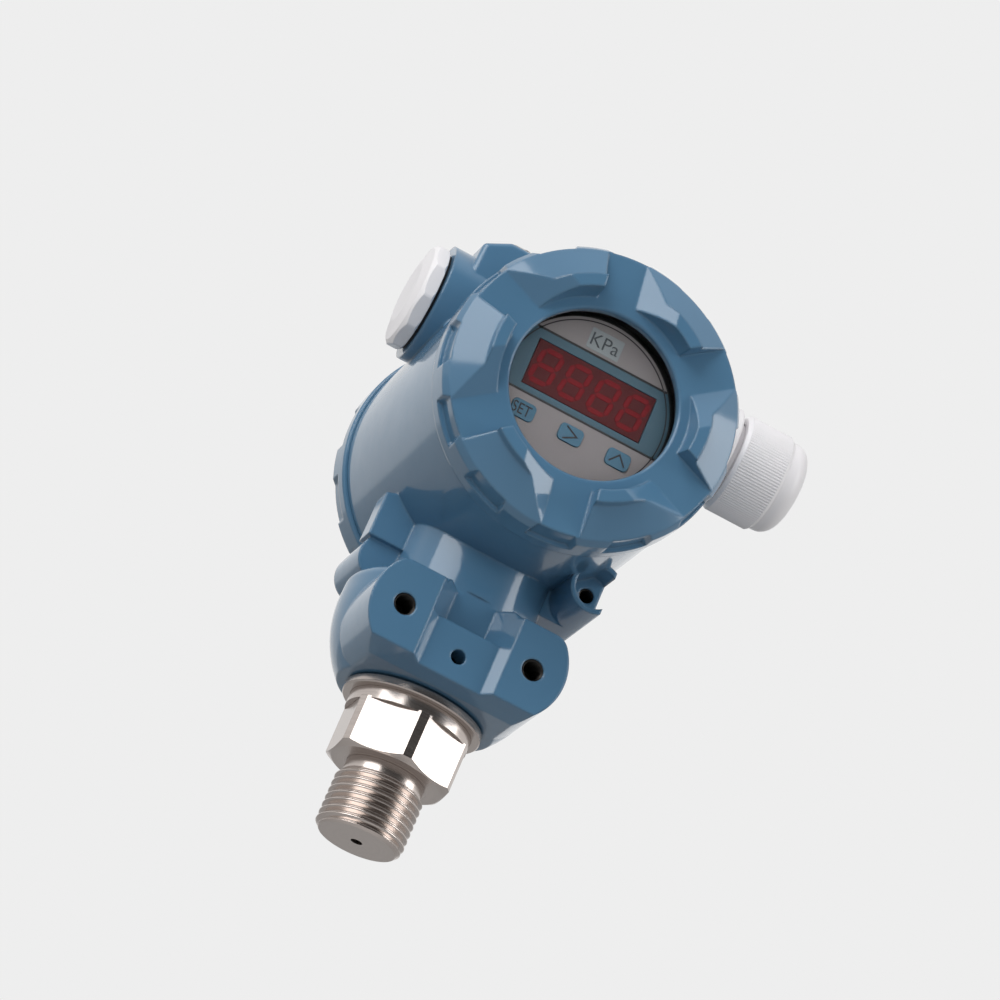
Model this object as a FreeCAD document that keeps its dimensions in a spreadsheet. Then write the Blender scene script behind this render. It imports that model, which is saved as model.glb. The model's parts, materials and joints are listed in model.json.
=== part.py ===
import FreeCAD, Part
import os
import re
import Sketcher
from FreeCAD import Vector

# Pressure transmitter, millimetres.  +Z is up along the stem, the display faces -Y,
# and z = 0 is the free end of the process thread.

os.makedirs("parts", exist_ok=True)
doc = FreeCAD.newDocument("pressure_transmitter")
dims = doc.addObject("Spreadsheet::Sheet", "Dims")

SIZES = [
    # barrel, covers and the threads that join them
    ("barrel_axis_z", 102.6, "height of the axis shared by barrel, covers and display"),
    ("barrel_r", 34.1, "outside of the cast barrel"),
    ("front_seam", 37.4, "stem axis to the seat of the front cover"),
    ("rear_seam", 29.3, "stem axis to the seat of the rear cover"),
    ("seam_gap", 0.3, "daylight between a closed cover and the barrel rim"),
    ("cavity_r", 28.6, "bore of both compartments"),
    ("cover_thread_r", 30.5, "cover thread as a plain cylinder, housing side"),
    ("thread_play", 0.1, "radial play in every modelled thread"),
    ("cover_thread_depth", 10.0, "threaded depth of each compartment"),
    ("spigot_len", 8.0, "threaded length of a cover"),
    ("spigot_bore_r", 27.2, "inside of a cover spigot"),
    ("seal_room", 0.3, "counterbore beyond the outside of the cover seal"),
    ("seal_seat_depth", 2.3, "depth of that counterbore"),
    ("seal_floor_r", 29.0, "floor of the seal groove in a cover"),
    ("seal_mid_r", 30.3, "centre line radius of a cover seal"),
    ("seal_wire_r", 1.0, "section radius of a cover seal"),
    # the crown of lugs on each cover
    ("skirt_r", 35.05, "outside of the grip pads"),
    ("grip_floor_r", 33.9, "floor between the grip pads"),
    ("grip_band", 4.0, "plain band behind the grip pads"),
    ("grip_angle", 15.0, "width of the floor of a grip recess in degrees"),
    ("grip_flare", 1.2, "how much a grip recess widens on each side"),
    ("grip_count", 12, "grip recesses round a cover"),
    ("skirt_len", 8.0, "seat to the end of the grip pads"),
    ("shoulder_r", 34.0, "outer edge of the lobes"),
    ("lobe_out", 13.3, "seat to the foot of the step on a lobe"),
    ("lobe_step_r", 26.9, "outside of that step"),
    ("crown_out", 15.1, "seat to the top of the crown"),
    ("crest_r", 26.6, "outer edge of the crown top"),
    ("crown_inner_r", 23.6, "inner edge of the crown top"),
    ("crown_foot_r", 22.8, "foot of the wall inside the crown"),
    ("ring_out", 9.8, "seat to the floor inside the crown"),
    ("channel_count", 6, "channels across the crown"),
    ("channel_wall", 5.5, "middle of a channel to its steep wall"),
    ("channel_foot", 3.75, "middle of a channel to the foot of its ramp"),
    ("channel_slope", 0.59, "rise of the ramp beside a channel"),
    ("front_phase", 37.4, "turn of the front crown in degrees"),
    ("rear_phase", 0.0, "turn of the rear crown in degrees"),
    ("edge_break", 0.5, "broken sharp edges of turned pieces"),
    ("blind_wall", 3.6, "middle wall of the rear cover"),
    # window stack
    ("window_r", 20.0, "clear radius of the window"),
    ("window_flange", 2.3, "thickness of the flange over the glass"),
    ("gasket_t", 0.5, "gasket thickness"),
    ("glass_t", 3.0, "glass thickness"),
    ("glass_r", 23.7, "glass radius"),
    ("glass_ring_t", 2.6, "thickness of the ring that holds the glass"),
    ("glass_ring_bore_r", 21.9, "inside of that ring"),
    ("glass_ring_thread_r", 26.0, "thread of that ring, cover side"),
    ("loose_fit", 0.3, "clearance round a piece that is dropped in"),
    # casting below the barrel
    ("neck_r", 17.5, "outside of the neck"),
    ("neck_bore_r", 9.0, "wire way through the neck"),
    ("base_bottom_z", 34.3, "underside of the base"),
    ("base_top_z", 57.6, "shoulder of the base"),
    ("base_ball_r", 25.7, "radius of the rounded base"),
    ("base_ball_z", 51.6, "height of the centre of that radius"),
    ("boss_face", 25.6, "stem axis to the faces of the front bosses"),
    ("boss_inner_x", 10.0, "middle to the inner edge of a boss face"),
    ("boss_round_r", 14.2, "outer rounding of a boss"),
    ("boss_mid_z", 46.0, "height of the centre of that rounding"),
    ("boss_top_z", 56.0, "top of the bosses"),
    ("boss_corner_r", 4.0, "rounding of their outer top corners"),
    ("boss_low_z", 36.3, "lower edge of a boss face"),
    ("boss_under_y", 19.0, "where the slanting underside of a boss ends"),
    ("mid_face", 23.4, "stem axis to the face between the bosses"),
    ("mid_face_x", 7.8, "half width of that face"),
    ("mid_face_top_z", 48.0, "top of that face"),
    ("recess_x", 5.0, "half width of the recess at its back"),
    ("recess_y", 17.2, "stem axis to the back of the recess"),
    ("boss_back", 4.0, "stem axis to the back of the bosses inside the base"),
    ("boss_hole_x", 16.2, "half spacing of the front holes"),
    ("boss_hole_z", 45.85, "height of the front holes"),
    ("boss_hole_r", 2.6, "front holes, M6"),
    ("boss_hole_depth", 9.0, "depth of the front holes"),
    ("lock_hole_z", 41.3, "height of the lock screw"),
    ("lock_hole_r", 1.75, "lock screw hole, M4"),
    ("lock_screw_len", 3.0, "length of the lock screw"),
    # cable entries and the top of the casting
    ("conduit_y", -1.0, "cable entries behind the stem axis"),
    ("conduit_rise", 21.6, "barrel axis up to the cable entries"),
    ("conduit_proud", 1.6, "side of the barrel to the end faces of the cable entries"),
    ("conduit_r", 14.5, "outside of the cable entries"),
    ("entry_r", 10.0, "cable entry thread M20 as a plain bore"),
    ("hump_x", 31.9, "half length of the top pad at its foot"),
    ("hump_shoulder_x", 31.0, "half length of the top pad at its shoulders"),
    ("hump_flat_x", 25.0, "half length of its level part"),
    ("hump_front", 13.0, "middle to the front of the top pad"),
    ("hump_back", 11.5, "middle to the back of the top pad"),
    ("hump_rise", 39.4, "barrel axis up to the level part of the top pad"),
    ("hump_fall", 3.2, "level part of the top pad down to its shoulders"),
    ("hump_drop", 9.0, "axis of the cable entries down to the foot of the top pad"),
    ("hump_round", 1.4, "rounding of the top pad"),
    ("partition_front", 16.5, "stem axis to the display side of the partition"),
    ("partition_back", 12.5, "stem axis to the terminal side of the partition"),
    # earthing lug on the right of the neck, tag lug on the left
    ("earth_x", 23.5, "middle to the axis of the earthing lug"),
    ("earth_drop", 29.8, "barrel axis down to the earthing lug"),
    ("earth_r", 6.2, "outside of the earthing lug"),
    ("earth_len", 20.0, "stem axis to the face of the earthing lug"),
    ("earth_back", 4.0, "stem axis to the back of the earthing lug"),
    ("earth_cup_r", 5.0, "recess in the face of the lug"),
    ("earth_cup_depth", 7.0, "depth of that recess"),
    ("earth_side_x", 26.6, "middle to the flat that opens the recess"),
    ("earth_hole_r", 1.8, "earthing screw hole, M4"),
    ("earth_hole_depth", 9.0, "depth of that hole from the recess"),
    ("tag_x", 20.3, "middle to the axis of the tag lug"),
    ("tag_drop", 40.0, "barrel axis down to the tag lug"),
    ("tag_r", 6.1, "outside of the tag lug"),
    ("tag_front", 1.0, "stem axis to the front face of the tag lug"),
    ("tag_back", 18.0, "stem axis to its back face"),
    ("tag_web_x", 26.3, "middle to the side of the web above the tag lug"),
    ("tag_web_out", 2.4, "stem axis to the front of that web"),
    ("tag_web_back", 5.0, "stem axis to its back"),
    ("tag_web_drop", 36.4, "barrel axis down to its underside"),
    ("tag_web_top_drop", 25.5, "barrel axis down to the top of its side"),
    ("tag_web_slope", 3.0, "run of its sloping top end"),
    ("tag_foot_inset", 5.0, "back face of the tag lug to the back of its foot"),
    ("web_wall", 2.0, "neck bore to the inner end of a lug's web"),
    ("web_bite", 4.0, "depth of a web in the barrel"),
    # process fitting
    ("process_thread_r", 10.48, "G 1/2 thread as a plain cylinder"),
    ("process_thread_len", 13.2, "length of the thread"),
    ("process_chamfer", 1.25, "chamfer at the thread end"),
    ("relief_r", 9.4, "neck behind the thread"),
    ("hex_low_z", 17.0, "underside of the hexagon"),
    ("hex_top_z", 29.3, "top of the hexagon"),
    ("hex_flats", 27.0, "width across the flats"),
    ("hex_blank_r", 15.0, "turned corners of the hexagon"),
    ("collar_r", 14.7, "collar above the hexagon"),
    ("flange_low_z", 31.9, "underside of the flange"),
    ("flange_r", 16.7, "flange under the base"),
    ("port_r", 1.4, "pressure port"),
    ("stub_r", 13.5, "part of the fitting inside the base"),
    ("stub_top_z", 44.5, "top of that part"),
    ("stub_seal_z", 37.0, "height of the seal on the fitting"),
    ("stub_seal_floor_r", 11.4, "floor of its groove"),
    ("stub_seal_mid_r", 12.5, "centre line radius of that seal"),
    ("stub_seal_wire_r", 0.85, "section radius of that seal"),
    ("sensor_floor_z", 27.0, "floor of the sensor pocket"),
    ("sensor_r", 9.5, "sensor cell"),
    ("sensor_len", 13.8, "length of the sensor cell"),
    ("sensor_seal_z", 32.0, "height of the sensor seal"),
    ("sensor_seal_floor_r", 8.0, "floor of its groove"),
    ("sensor_seal_mid_r", 8.8, "centre line radius of that seal"),
    ("sensor_seal_wire_r", 0.7, "section radius of that seal"),
    ("sensor_nut_bore_r", 5.4, "inside of the sensor nut"),
    ("sensor_nut_len", 2.8, "thickness of the sensor nut"),
    ("header_r", 4.6, "wire header on the sensor"),
    ("lead_r", 1.3, "sensor lead"),
    ("lead_bend_r", 6.0, "bend of the sensor lead"),
    ("lead_drop", 18.6, "barrel axis down to where the lead turns forward"),
    ("lead_hole_r", 2.2, "hole for the lead in the partition"),
    # boards and display
    ("board_t", 1.6, "thickness of both boards"),
    ("main_board_out", 20.0, "stem axis to the back of the main board"),
    ("main_board_r", 24.0, "main board radius"),
    ("display_board_out", 28.0, "stem axis to the back of the display board"),
    ("display_board_r", 25.0, "display board radius"),
    ("chip_side", 9.0, "side of the processor"),
    ("chip_t", 1.8, "height of the processor"),
    ("coil_w", 5.0, "width of the coil and side of the driver"),
    ("coil_tall", 8.0, "length of the coil"),
    ("coil_t", 3.0, "height of the coil"),
    ("driver_t", 2.4, "height of the driver"),
    ("spacer_r", 2.4, "outside of a spacer"),
    ("stack_ring_r", 19.4, "circle of the board screws"),
    ("stack_screw_r", 1.25, "board screw"),
    ("stack_head_r", 2.3, "board screw head"),
    ("stack_head_t", 1.4, "thickness of that head"),
    ("stack_screw_grip", 3.2, "board screw length inside the partition"),
    ("bezel_r", 24.0, "wide part of the display housing"),
    ("bezel_step_out", 36.5, "stem axis to the step of the display housing"),
    ("bezel_face_r", 20.9, "narrow part of the display housing"),
    ("bezel_face_out", 39.2, "stem axis to its face"),
    ("bezel_wall", 1.4, "wall of the display housing"),
    ("faceplate_r", 20.4, "face plate radius"),
    ("faceplate_t", 0.5, "face plate thickness"),
    ("led_half_x", 15.05, "half width of the red window"),
    ("led_drop", 2.55, "barrel axis down to the lower edge of the red window"),
    ("led_rise", 9.25, "barrel axis up to its upper edge"),
    ("led_window_t", 0.8, "thickness of the red window"),
    ("led_module_depth", 7.2, "depth of the digit module"),
    ("snug", 0.15, "clearance round a piece set into an opening"),
    ("key_w", 6.0, "key width"),
    ("key_tall", 4.3, "key height"),
    ("key_pitch", 12.1, "spacing of the keys"),
    ("key_drop", 8.5, "barrel axis down to the keys"),
    ("key_proud", 0.4, "how far a key stands out of the face plate"),
    ("key_pad_t", 1.5, "thickness of a key pad"),
    ("key_stem_r", 1.2, "key stem"),
    ("key_travel", 0.3, "travel of a key"),
    ("switch_side", 5.6, "side of a key switch"),
    ("switch_tall", 3.6, "height of a key switch"),
    # terminals
    ("block_x", 17.0, "half width of the terminal block"),
    ("block_drop", 11.1, "barrel axis down to the underside of the terminal block"),
    ("block_rise", 7.4, "barrel axis up to its top"),
    ("block_depth", 15.0, "depth of the terminal block"),
    ("block_step", 6.0, "depth of the step that carries the terminals"),
    ("block_ledge", 0.4, "barrel axis down to that step"),
    ("plug_pin_r", 4.7, "connector of the block in the partition"),
    ("plug_pin_drop", 1.6, "barrel axis down to that connector"),
    ("terminal_pitch", 10.5, "spacing of the terminals"),
    ("terminal_drop", 5.6, "barrel axis down to the terminal screws"),
    ("terminal_plate_t", 0.8, "terminal plate thickness"),
    ("terminal_plate_w", 7.0, "terminal plate side"),
    ("terminal_screw_r", 1.7, "terminal screw"),
    ("terminal_head_r", 3.1, "terminal screw head"),
    ("terminal_head_t", 2.0, "thickness of that head"),
    ("terminal_screw_len", 6.0, "terminal screw length in the block"),
    ("block_screw_x", 13.5, "half spacing of the block screws"),
    ("block_screw_rise", 3.9, "barrel axis up to the block screws"),
    ("block_screw_r", 1.4, "block screw"),
    ("block_head_r", 2.6, "block screw head"),
    ("block_head_t", 1.8, "thickness of that head"),
    ("ground_x", -16.0, "inner earthing screw"),
    ("ground_drop", 17.1, "barrel axis down to the inner earthing screw"),
    ("screw_bite", 3.0, "length of the small screws in the partition"),
    # cable gland
    ("gland_washer_t", 1.5, "sealing washer thickness"),
    ("gland_washer_r", 12.8, "sealing washer radius"),
    ("gland_thread_len", 9.0, "length of an entry thread"),
    ("gland_hex_flats", 22.0, "hexagon of the gland body across the flats"),
    ("gland_hex_end", 4.8, "entry face to the end of that hexagon"),
    ("gland_collar_r", 12.4, "collar of the gland body"),
    ("gland_collar_end", 6.6, "entry face to the end of the collar"),
    ("gland_neck_r", 9.4, "nut thread of the gland body"),
    ("gland_neck_end", 17.0, "entry face to the end of that thread"),
    ("gland_claw_end", 20.0, "entry face to the tip of the claws"),
    ("gland_claw_r", 8.0, "claws at their tip"),
    ("gland_bore_r", 4.6, "bore of the gland body"),
    ("gland_seal_r", 6.6, "outside of the gland seal"),
    ("gland_seal_bore_r", 3.7, "inside of the gland seal"),
    ("gland_seal_start", 8.3, "entry face to the gland seal"),
    ("gland_seal_end", 19.6, "entry face to the end of the seal"),
    ("slip_ring_start", 20.3, "entry face to the slip ring"),
    ("slip_ring_t", 1.5, "slip ring thickness"),
    ("slip_ring_r", 8.0, "slip ring radius"),
    ("nut_start", 8.2, "entry face to the gland nut"),
    ("nut_r", 12.1, "outside of the gland nut"),
    ("nut_side_end", 19.8, "entry face to the end of the ribbed side"),
    ("nut_shoulder_r", 11.3, "start of the dome"),
    ("nut_dome_start", 21.6, "entry face to the start of the dome"),
    ("nut_end", 26.0, "entry face to the end of the nut"),
    ("nut_nose_r", 6.0, "flat nose of the nut"),
    ("nut_dome_r", 6.6, "rounding of the dome"),
    ("nut_hole_r", 4.2, "cable hole of the nut"),
    ("nut_wall", 2.0, "wall of the dome"),
    # blanking plug
    ("plug_seal_t", 0.7, "seal under the plug head"),
    ("plug_seal_r", 11.9, "outside of that seal"),
    ("plug_flats", 25.1, "plug head across the flats"),
    ("plug_sides", 10, "flats round the plug head"),
    ("plug_blank_r", 13.1, "turned corners of the plug head"),
    ("plug_side_end", 3.3, "entry face to the end of the plug side"),
    ("plug_brow_r", 11.9, "plug head at the end of its chamfer"),
    ("plug_brow_end", 4.3, "entry face to the end of that chamfer"),
    ("plug_end", 5.2, "entry face to the face of the plug"),
    ("plug_face_r", 7.5, "flat face of the plug"),
    # name plate
    ("nameplate_x", 24.0, "half length of the name plate"),
    ("nameplate_y", 9.5, "half width of the name plate"),
    ("nameplate_t", 0.8, "name plate thickness"),
    ("nameplate_pad_t", 0.5, "black pad under the name plate"),
    ("nameplate_inset", 0.7, "plate edge to the edge of that pad"),
    ("rivet_x", 20.5, "half spacing of the rivets along the plate"),
    ("rivet_y", 6.8, "half spacing of the rivets across it"),
    ("rivet_head_r", 1.6, "rivet head"),
    ("rivet_head_t", 0.7, "rivet head thickness"),
    ("rivet_r", 1.0, "rivet shank"),
    ("rivet_depth", 4.0, "rivet length in the casting"),
    ("snug_hole", 0.05, "radial play of screws and rivets in their holes"),
]

for row, (name, value, note) in enumerate(SIZES, 1):
    dims.set("A%d" % row, name)
    dims.set("B%d" % row, repr(value))
    dims.set("C%d" % row, note)
    dims.setAlias("B%d" % row, name)
doc.recompute()

NAMES = {row[0] for row in SIZES}
WORD = re.compile("[a-z][a-z0-9_]*")


def bound(text):
    """Expression with each size name pointing at the sheet."""
    return WORD.sub(lambda m: ("Dims." if m.group() in NAMES else "") + m.group(), str(text))


def number(text):
    """Present value of an expression, for starting points of sketches."""
    dims.set("Z1", "=" + str(text))
    dims.recompute()
    return float(dims.get("Z1"))


def placed(x, y, z, *turns):
    """Placement expression: a position and turns about X, Y or Z in degrees."""
    axes = {"x": "1; 0; 0", "y": "0; 1; 0", "z": "0; 0; 1"}
    spins = ["rotation(vector(%s); %s)" % (axes[axis], angle) for axis, angle in turns]
    spin = " * ".join(spins or ["rotation(vector(0; 0; 1); 0)"])
    return "placement(vector(%s; %s; %s); %s)" % (x, y, z, spin)


def sideways(x):
    """Placement on the line of the cable entries, local Z pointing to the right."""
    return placed(x, "conduit_y", CONDUIT_Z, ("y", 90))


CONDUIT_Z = "barrel_axis_z + conduit_rise"
CONDUIT_X = "(barrel_r + conduit_proud)"
SEAL_SEAT_R = "seal_mid_r + seal_wire_r + seal_room"
HUMP_Z = "barrel_axis_z + hump_rise"
HOME = placed(0, 0, 0)
FRONT = placed(0, "-front_seam", "barrel_axis_z", ("x", 90))
REAR = placed(0, "rear_seam", "barrel_axis_z", ("z", 180), ("x", 90))
RIGHT = sideways(CONDUIT_X)
LEFT = placed("-" + CONDUIT_X, "conduit_y", CONDUIT_Z, ("y", -90))


def outline(body, role, corners):
    """Closed sketch; a corner is (u, v), or (u, v, turn, radius) before an arc."""
    sketch = body.newObject("Sketcher::SketchObject", body.Name + "_outline")
    plane = [f for f in body.Origin.OriginFeatures if f.Role == role][0]
    sketch.AttachmentSupport = [(plane, "")]
    sketch.MapMode = "FlatFace"
    spots = [Vector(number(c[0]), number(c[1]), 0) for c in corners]
    ends = []
    for i, corner in enumerate(corners):
        a = spots[i]
        b = spots[(i + 1) % len(spots)]
        if len(corner) == 2:
            sketch.addGeometry(Part.LineSegment(a, b), False)
            ends.append((1, 2))
            continue
        radius = number(corner[3])
        side = 1 if corner[2] == "ccw" else -1
        half = (b - a) * 0.5
        rise = (radius ** 2 - half.Length ** 2) ** 0.5
        centre = a + half + Vector(-half.y, half.x, 0).normalize() * rise * side
        circle = Part.Circle(centre, Vector(0, 0, 1), radius)
        first, last = (a, b) if side == 1 else (b, a)
        low = circle.parameter(first)
        high = circle.parameter(last)
        sketch.addGeometry(Part.ArcOfCircle(circle, low, high), False)
        ends.append((1, 2) if side == 1 else (2, 1))
    for i, corner in enumerate(corners):
        j = (i + 1) % len(corners)
        sketch.addConstraint(Sketcher.Constraint("Coincident", i, ends[i][1], j, ends[j][0]))
        sides = (("DistanceX", corner[0], spots[i].x), ("DistanceY", corner[1], spots[i].y))
        for kind, text, value in sides:
            tag = sketch.addConstraint(Sketcher.Constraint(kind, -1, 1, i, ends[i][0], value))
            sketch.setExpression("Constraints[%d]" % tag, bound(text))
        if len(corner) == 4:
            tag = sketch.addConstraint(Sketcher.Constraint("Radius", i, number(corner[3])))
            sketch.setExpression("Constraints[%d]" % tag, bound(corner[3]))
    return sketch


def turned(name, corners, place=HOME):
    """Body of revolution about its own Z; corners are (radius, height)."""
    body = doc.addObject("PartDesign::Body", name)
    sketch = outline(body, "XZ_Plane", corners)
    feature = body.newObject("PartDesign::Revolution", name + "_turning")
    feature.Profile = sketch
    feature.ReferenceAxis = (sketch, ["V_Axis"])
    feature.Angle = 360
    body.setExpression("Placement", bound(place))
    return body


def plate(name, corners, thickness, place=HOME):
    """Flat outline in local XY made thick along local Z."""
    body = doc.addObject("PartDesign::Body", name)
    sketch = outline(body, "XY_Plane", corners)
    feature = body.newObject("PartDesign::Pad", name + "_pad")
    feature.Profile = sketch
    feature.setExpression("Length", bound(thickness))
    body.setExpression("Placement", bound(place))
    return body


def ring(name, low, high, inner, outer, place=HOME):
    """Plain ring, or disc when inner is 0."""
    return turned(name, [(inner, low), (outer, low), (outer, high), (inner, high)], place)


def rod(name, radius, length, place=HOME):
    item = doc.addObject("Part::Cylinder", name)
    item.setExpression("Radius", bound(radius))
    item.setExpression("Height", bound(length))
    item.setExpression("Placement", bound(place))
    return item


def seal(name, mid_r, wire_r, place=HOME):
    item = doc.addObject("Part::Torus", name)
    item.setExpression("Radius1", bound(mid_r))
    item.setExpression("Radius2", bound(wire_r))
    item.setExpression("Placement", bound(place))
    return item


def block(name, x, y, z):
    """Box between pairs of limits in the main axes."""
    item = doc.addObject("Part::Box", name)
    for side, (low, high) in zip(("Length", "Width", "Height"), (x, y, z)):
        item.setExpression(side, bound("(%s) - (%s)" % (high, low)))
    item.setExpression("Placement", bound(placed(x[0], y[0], z[0])))
    return item


def prism(name, sides, flats, length, place):
    item = doc.addObject("Part::Prism", name)
    item.setExpression("Polygon", bound(sides))
    item.setExpression("Circumradius", bound("%s / 2 / cos(180 / %s)" % (flats, sides)))
    item.setExpression("Height", bound(length))
    item.setExpression("Placement", bound(place))
    return item


def joined(name, pieces):
    item = doc.addObject("Part::MultiFuse", name)
    item.Shapes = pieces
    item.Refine = True
    return item


def cut(name, base, tools):
    item = doc.addObject("Part::Cut", name)
    item.Base = base
    item.Tool = tools[0] if len(tools) == 1 else joined(name + "_tools", tools)
    item.Refine = True
    return item


def common(name, first, second):
    item = doc.addObject("Part::Common", name)
    item.Base = first
    item.Tool = second
    return item


def group(name, pieces):
    item = doc.addObject("Part::Compound", name)
    item.Links = pieces
    return item


def forward(x, z, out):
    """Placement at a distance in front of the stem axis, local Z pointing to the front."""
    return placed(x, "-(%s)" % out, z, ("x", 90))


def backward(x, z, out):
    """Placement behind the stem axis, local Z pointing to the back."""
    return placed(x, out, z, ("x", -90))


# ---------------------------------------------------------------- covers
def cover(name, inside, place, phase):
    outside = [
        ("crown_foot_r", "ring_out"),
        ("crown_inner_r", "crown_out"),
        ("crest_r", "crown_out"),
        ("lobe_step_r", "lobe_out"),
        ("shoulder_r", "ring_out"),
        ("skirt_r", "skirt_len"),
        ("skirt_r", "edge_break"),
        ("skirt_r - edge_break", "0"),
        ("seal_floor_r", "0"),
        ("seal_floor_r", "-seal_seat_depth - 0.1"),
        ("cover_thread_r - thread_play", "-seal_seat_depth - 0.1"),
        ("cover_thread_r - thread_play", "-spigot_len + edge_break"),
        ("cover_thread_r - thread_play - edge_break", "-spigot_len"),
        ("spigot_bore_r", "-spigot_len"),
    ]
    body = turned(name, outside + inside, place)
    turning = body.Tip
    channel = outline(body, "YZ_Plane", [
        ("-channel_foot", "ring_out"),
        ("channel_wall", "ring_out"),
        ("channel_wall", "crown_out + 4"),
        ("-channel_foot - (crown_out + 4 - ring_out) / channel_slope", "crown_out + 4"),
    ])
    pocket = body.newObject("PartDesign::Pocket", name + "_channel")
    pocket.Profile = channel
    pocket.Reversed = True
    pocket.setExpression("Length", bound("skirt_r + 5"))
    axis = [f for f in body.Origin.OriginFeatures if f.Role == "Z_Axis"][0]
    channels = body.newObject("PartDesign::PolarPattern", name + "_channels")
    channels.Originals = [pocket]
    channels.Axis = (axis, [""])
    channels.Angle = 360
    channels.setExpression("Occurrences", bound("channel_count"))
    body.Tip = channels
    doc.recompute()
    floor_x = "grip_floor_r * sin(grip_angle / 2)"
    floor_y = "grip_floor_r * cos(grip_angle / 2)"
    grip = outline(body, "XY_Plane", [
        ("-" + floor_x, floor_y, "cw", "grip_floor_r"),
        (floor_x, floor_y),
        (floor_x + " + grip_flare * 2", floor_y + " + 2 * (skirt_r - grip_floor_r)"),
        ("-%s - grip_flare * 2" % floor_x, floor_y + " + 2 * (skirt_r - grip_floor_r)"),
    ])
    grip.setExpression("AttachmentOffset.Base.z", bound("grip_band"))
    recess = body.newObject("PartDesign::Pocket", name + "_grip")
    recess.Profile = grip
    recess.Reversed = True
    recess.setExpression("Length", bound("crown_out"))
    grips = body.newObject("PartDesign::PolarPattern", name + "_grips")
    grips.Originals = [recess]
    grips.Axis = (axis, [""])
    grips.Angle = 360
    grips.setExpression("Occurrences", bound("grip_count"))
    body.Tip = grips
    body.setExpression("Placement", bound(place[:-1] + " * rotation(vector(0; 0; 1); %s))" % phase))
    doc.recompute()
    if not grips.Shape.Volume < channels.Shape.Volume < turning.Shape.Volume:
        raise RuntimeError("a cut in %s removed nothing" % name)
    return body


GLASS_BACK = "ring_out - window_flange - gasket_t - glass_t"

window_side = [
    ("spigot_bore_r", GLASS_BACK + " - glass_ring_t"),
    ("glass_ring_thread_r", GLASS_BACK + " - glass_ring_t"),
    ("glass_ring_thread_r", GLASS_BACK),
    ("glass_r + loose_fit", GLASS_BACK),
    ("glass_r + loose_fit", "ring_out - window_flange"),
    ("window_r", "ring_out - window_flange"),
    ("window_r", "ring_out - 0.4"),
    ("window_r + 0.4", "ring_out"),
]
blind_side = [
    ("spigot_bore_r", "ring_out - blind_wall - 2"),
    ("spigot_bore_r - 2", "ring_out - blind_wall"),
    ("0", "ring_out - blind_wall"),
    ("0", "ring_out"),
]
front_cover = cover("front_cover", window_side, FRONT, "front_phase")
rear_cover = cover("rear_cover", blind_side, REAR, "rear_phase")

window_gasket = ring(
    "window_gasket",
    "ring_out - window_flange - gasket_t",
    "ring_out - window_flange",
    "window_r + 0.6",
    "glass_r",
    FRONT)
window_glass = ring("window_glass", GLASS_BACK, "ring_out - window_flange - gasket_t", 0, "glass_r", FRONT)
glass_ring = ring(
    "glass_ring",
    GLASS_BACK + " - glass_ring_t",
    GLASS_BACK,
    "glass_ring_bore_r",
    "glass_ring_thread_r - thread_play",
    FRONT)
SEAL_DROP = "(seal_wire_r + 0.2)"
front_cover_seal = seal(
    "front_cover_seal", "seal_mid_r", "seal_wire_r",
    placed(0, "-front_seam + " + SEAL_DROP, "barrel_axis_z", ("x", 90)))
rear_cover_seal = seal(
    "rear_cover_seal", "seal_mid_r", "seal_wire_r",
    placed(0, "rear_seam - " + SEAL_DROP, "barrel_axis_z", ("x", 90)))

# ---------------------------------------------------------------- housing
barrel = rod(
    "barrel", "barrel_r", "front_seam + rear_seam - 2 * seam_gap",
    backward(0, "barrel_axis_z", "seam_gap - front_seam"))
neck = rod("neck", "neck_r", "barrel_axis_z - boss_mid_z", placed(0, 0, "boss_mid_z"))
base = turned("base", [
    ("0", "base_bottom_z"),
    ("sqrt(base_ball_r ^ 2 - (base_ball_z - base_bottom_z) ^ 2)", "base_bottom_z", "ccw", "base_ball_r"),
    ("base_ball_r", "base_ball_z"),
    ("base_ball_r", "base_top_z - 3", "ccw", "3"),
    ("base_ball_r - 3", "base_top_z"),
    ("0", "base_top_z"),
])


SIDE_X = "boss_inner_x + sqrt(boss_round_r ^ 2 - (boss_mid_z - base_bottom_z) ^ 2)"
TURN_X = "sqrt((boss_round_r - boss_corner_r) ^ 2 - (boss_top_z - boss_corner_r - boss_mid_z) ^ 2)"
MEET_X = "boss_inner_x + %s * boss_round_r / (boss_round_r - boss_corner_r)" % TURN_X
MEET_Z = ("boss_mid_z + (boss_top_z - boss_corner_r - boss_mid_z) * boss_round_r"
          " / (boss_round_r - boss_corner_r)")
bosses = plate("bosses", [
    (SIDE_X, "base_bottom_z", "ccw", "boss_round_r"),
    (MEET_X, MEET_Z, "ccw", "boss_corner_r"),
    ("boss_inner_x + " + TURN_X, "boss_top_z"),
    ("-boss_inner_x - " + TURN_X, "boss_top_z", "ccw", "boss_corner_r"),
    ("-(%s)" % MEET_X, MEET_Z, "ccw", "boss_round_r"),
    ("-(%s)" % SIDE_X, "base_bottom_z"),
], "boss_face - boss_back", forward(0, 0, "boss_back"))
EARTH_Z = "barrel_axis_z - earth_drop"
earth_stem = joined("earth_stem", [
    rod("earth_rod", "earth_r", "earth_len + earth_back", backward("earth_x", EARTH_Z, "-earth_len")),
    block("earth_web", ("neck_bore_r + web_wall", "earth_x"), ("-tag_web_back", "earth_back"),
          (EARTH_Z + " - earth_r", EARTH_Z + " + earth_r")),
])
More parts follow.
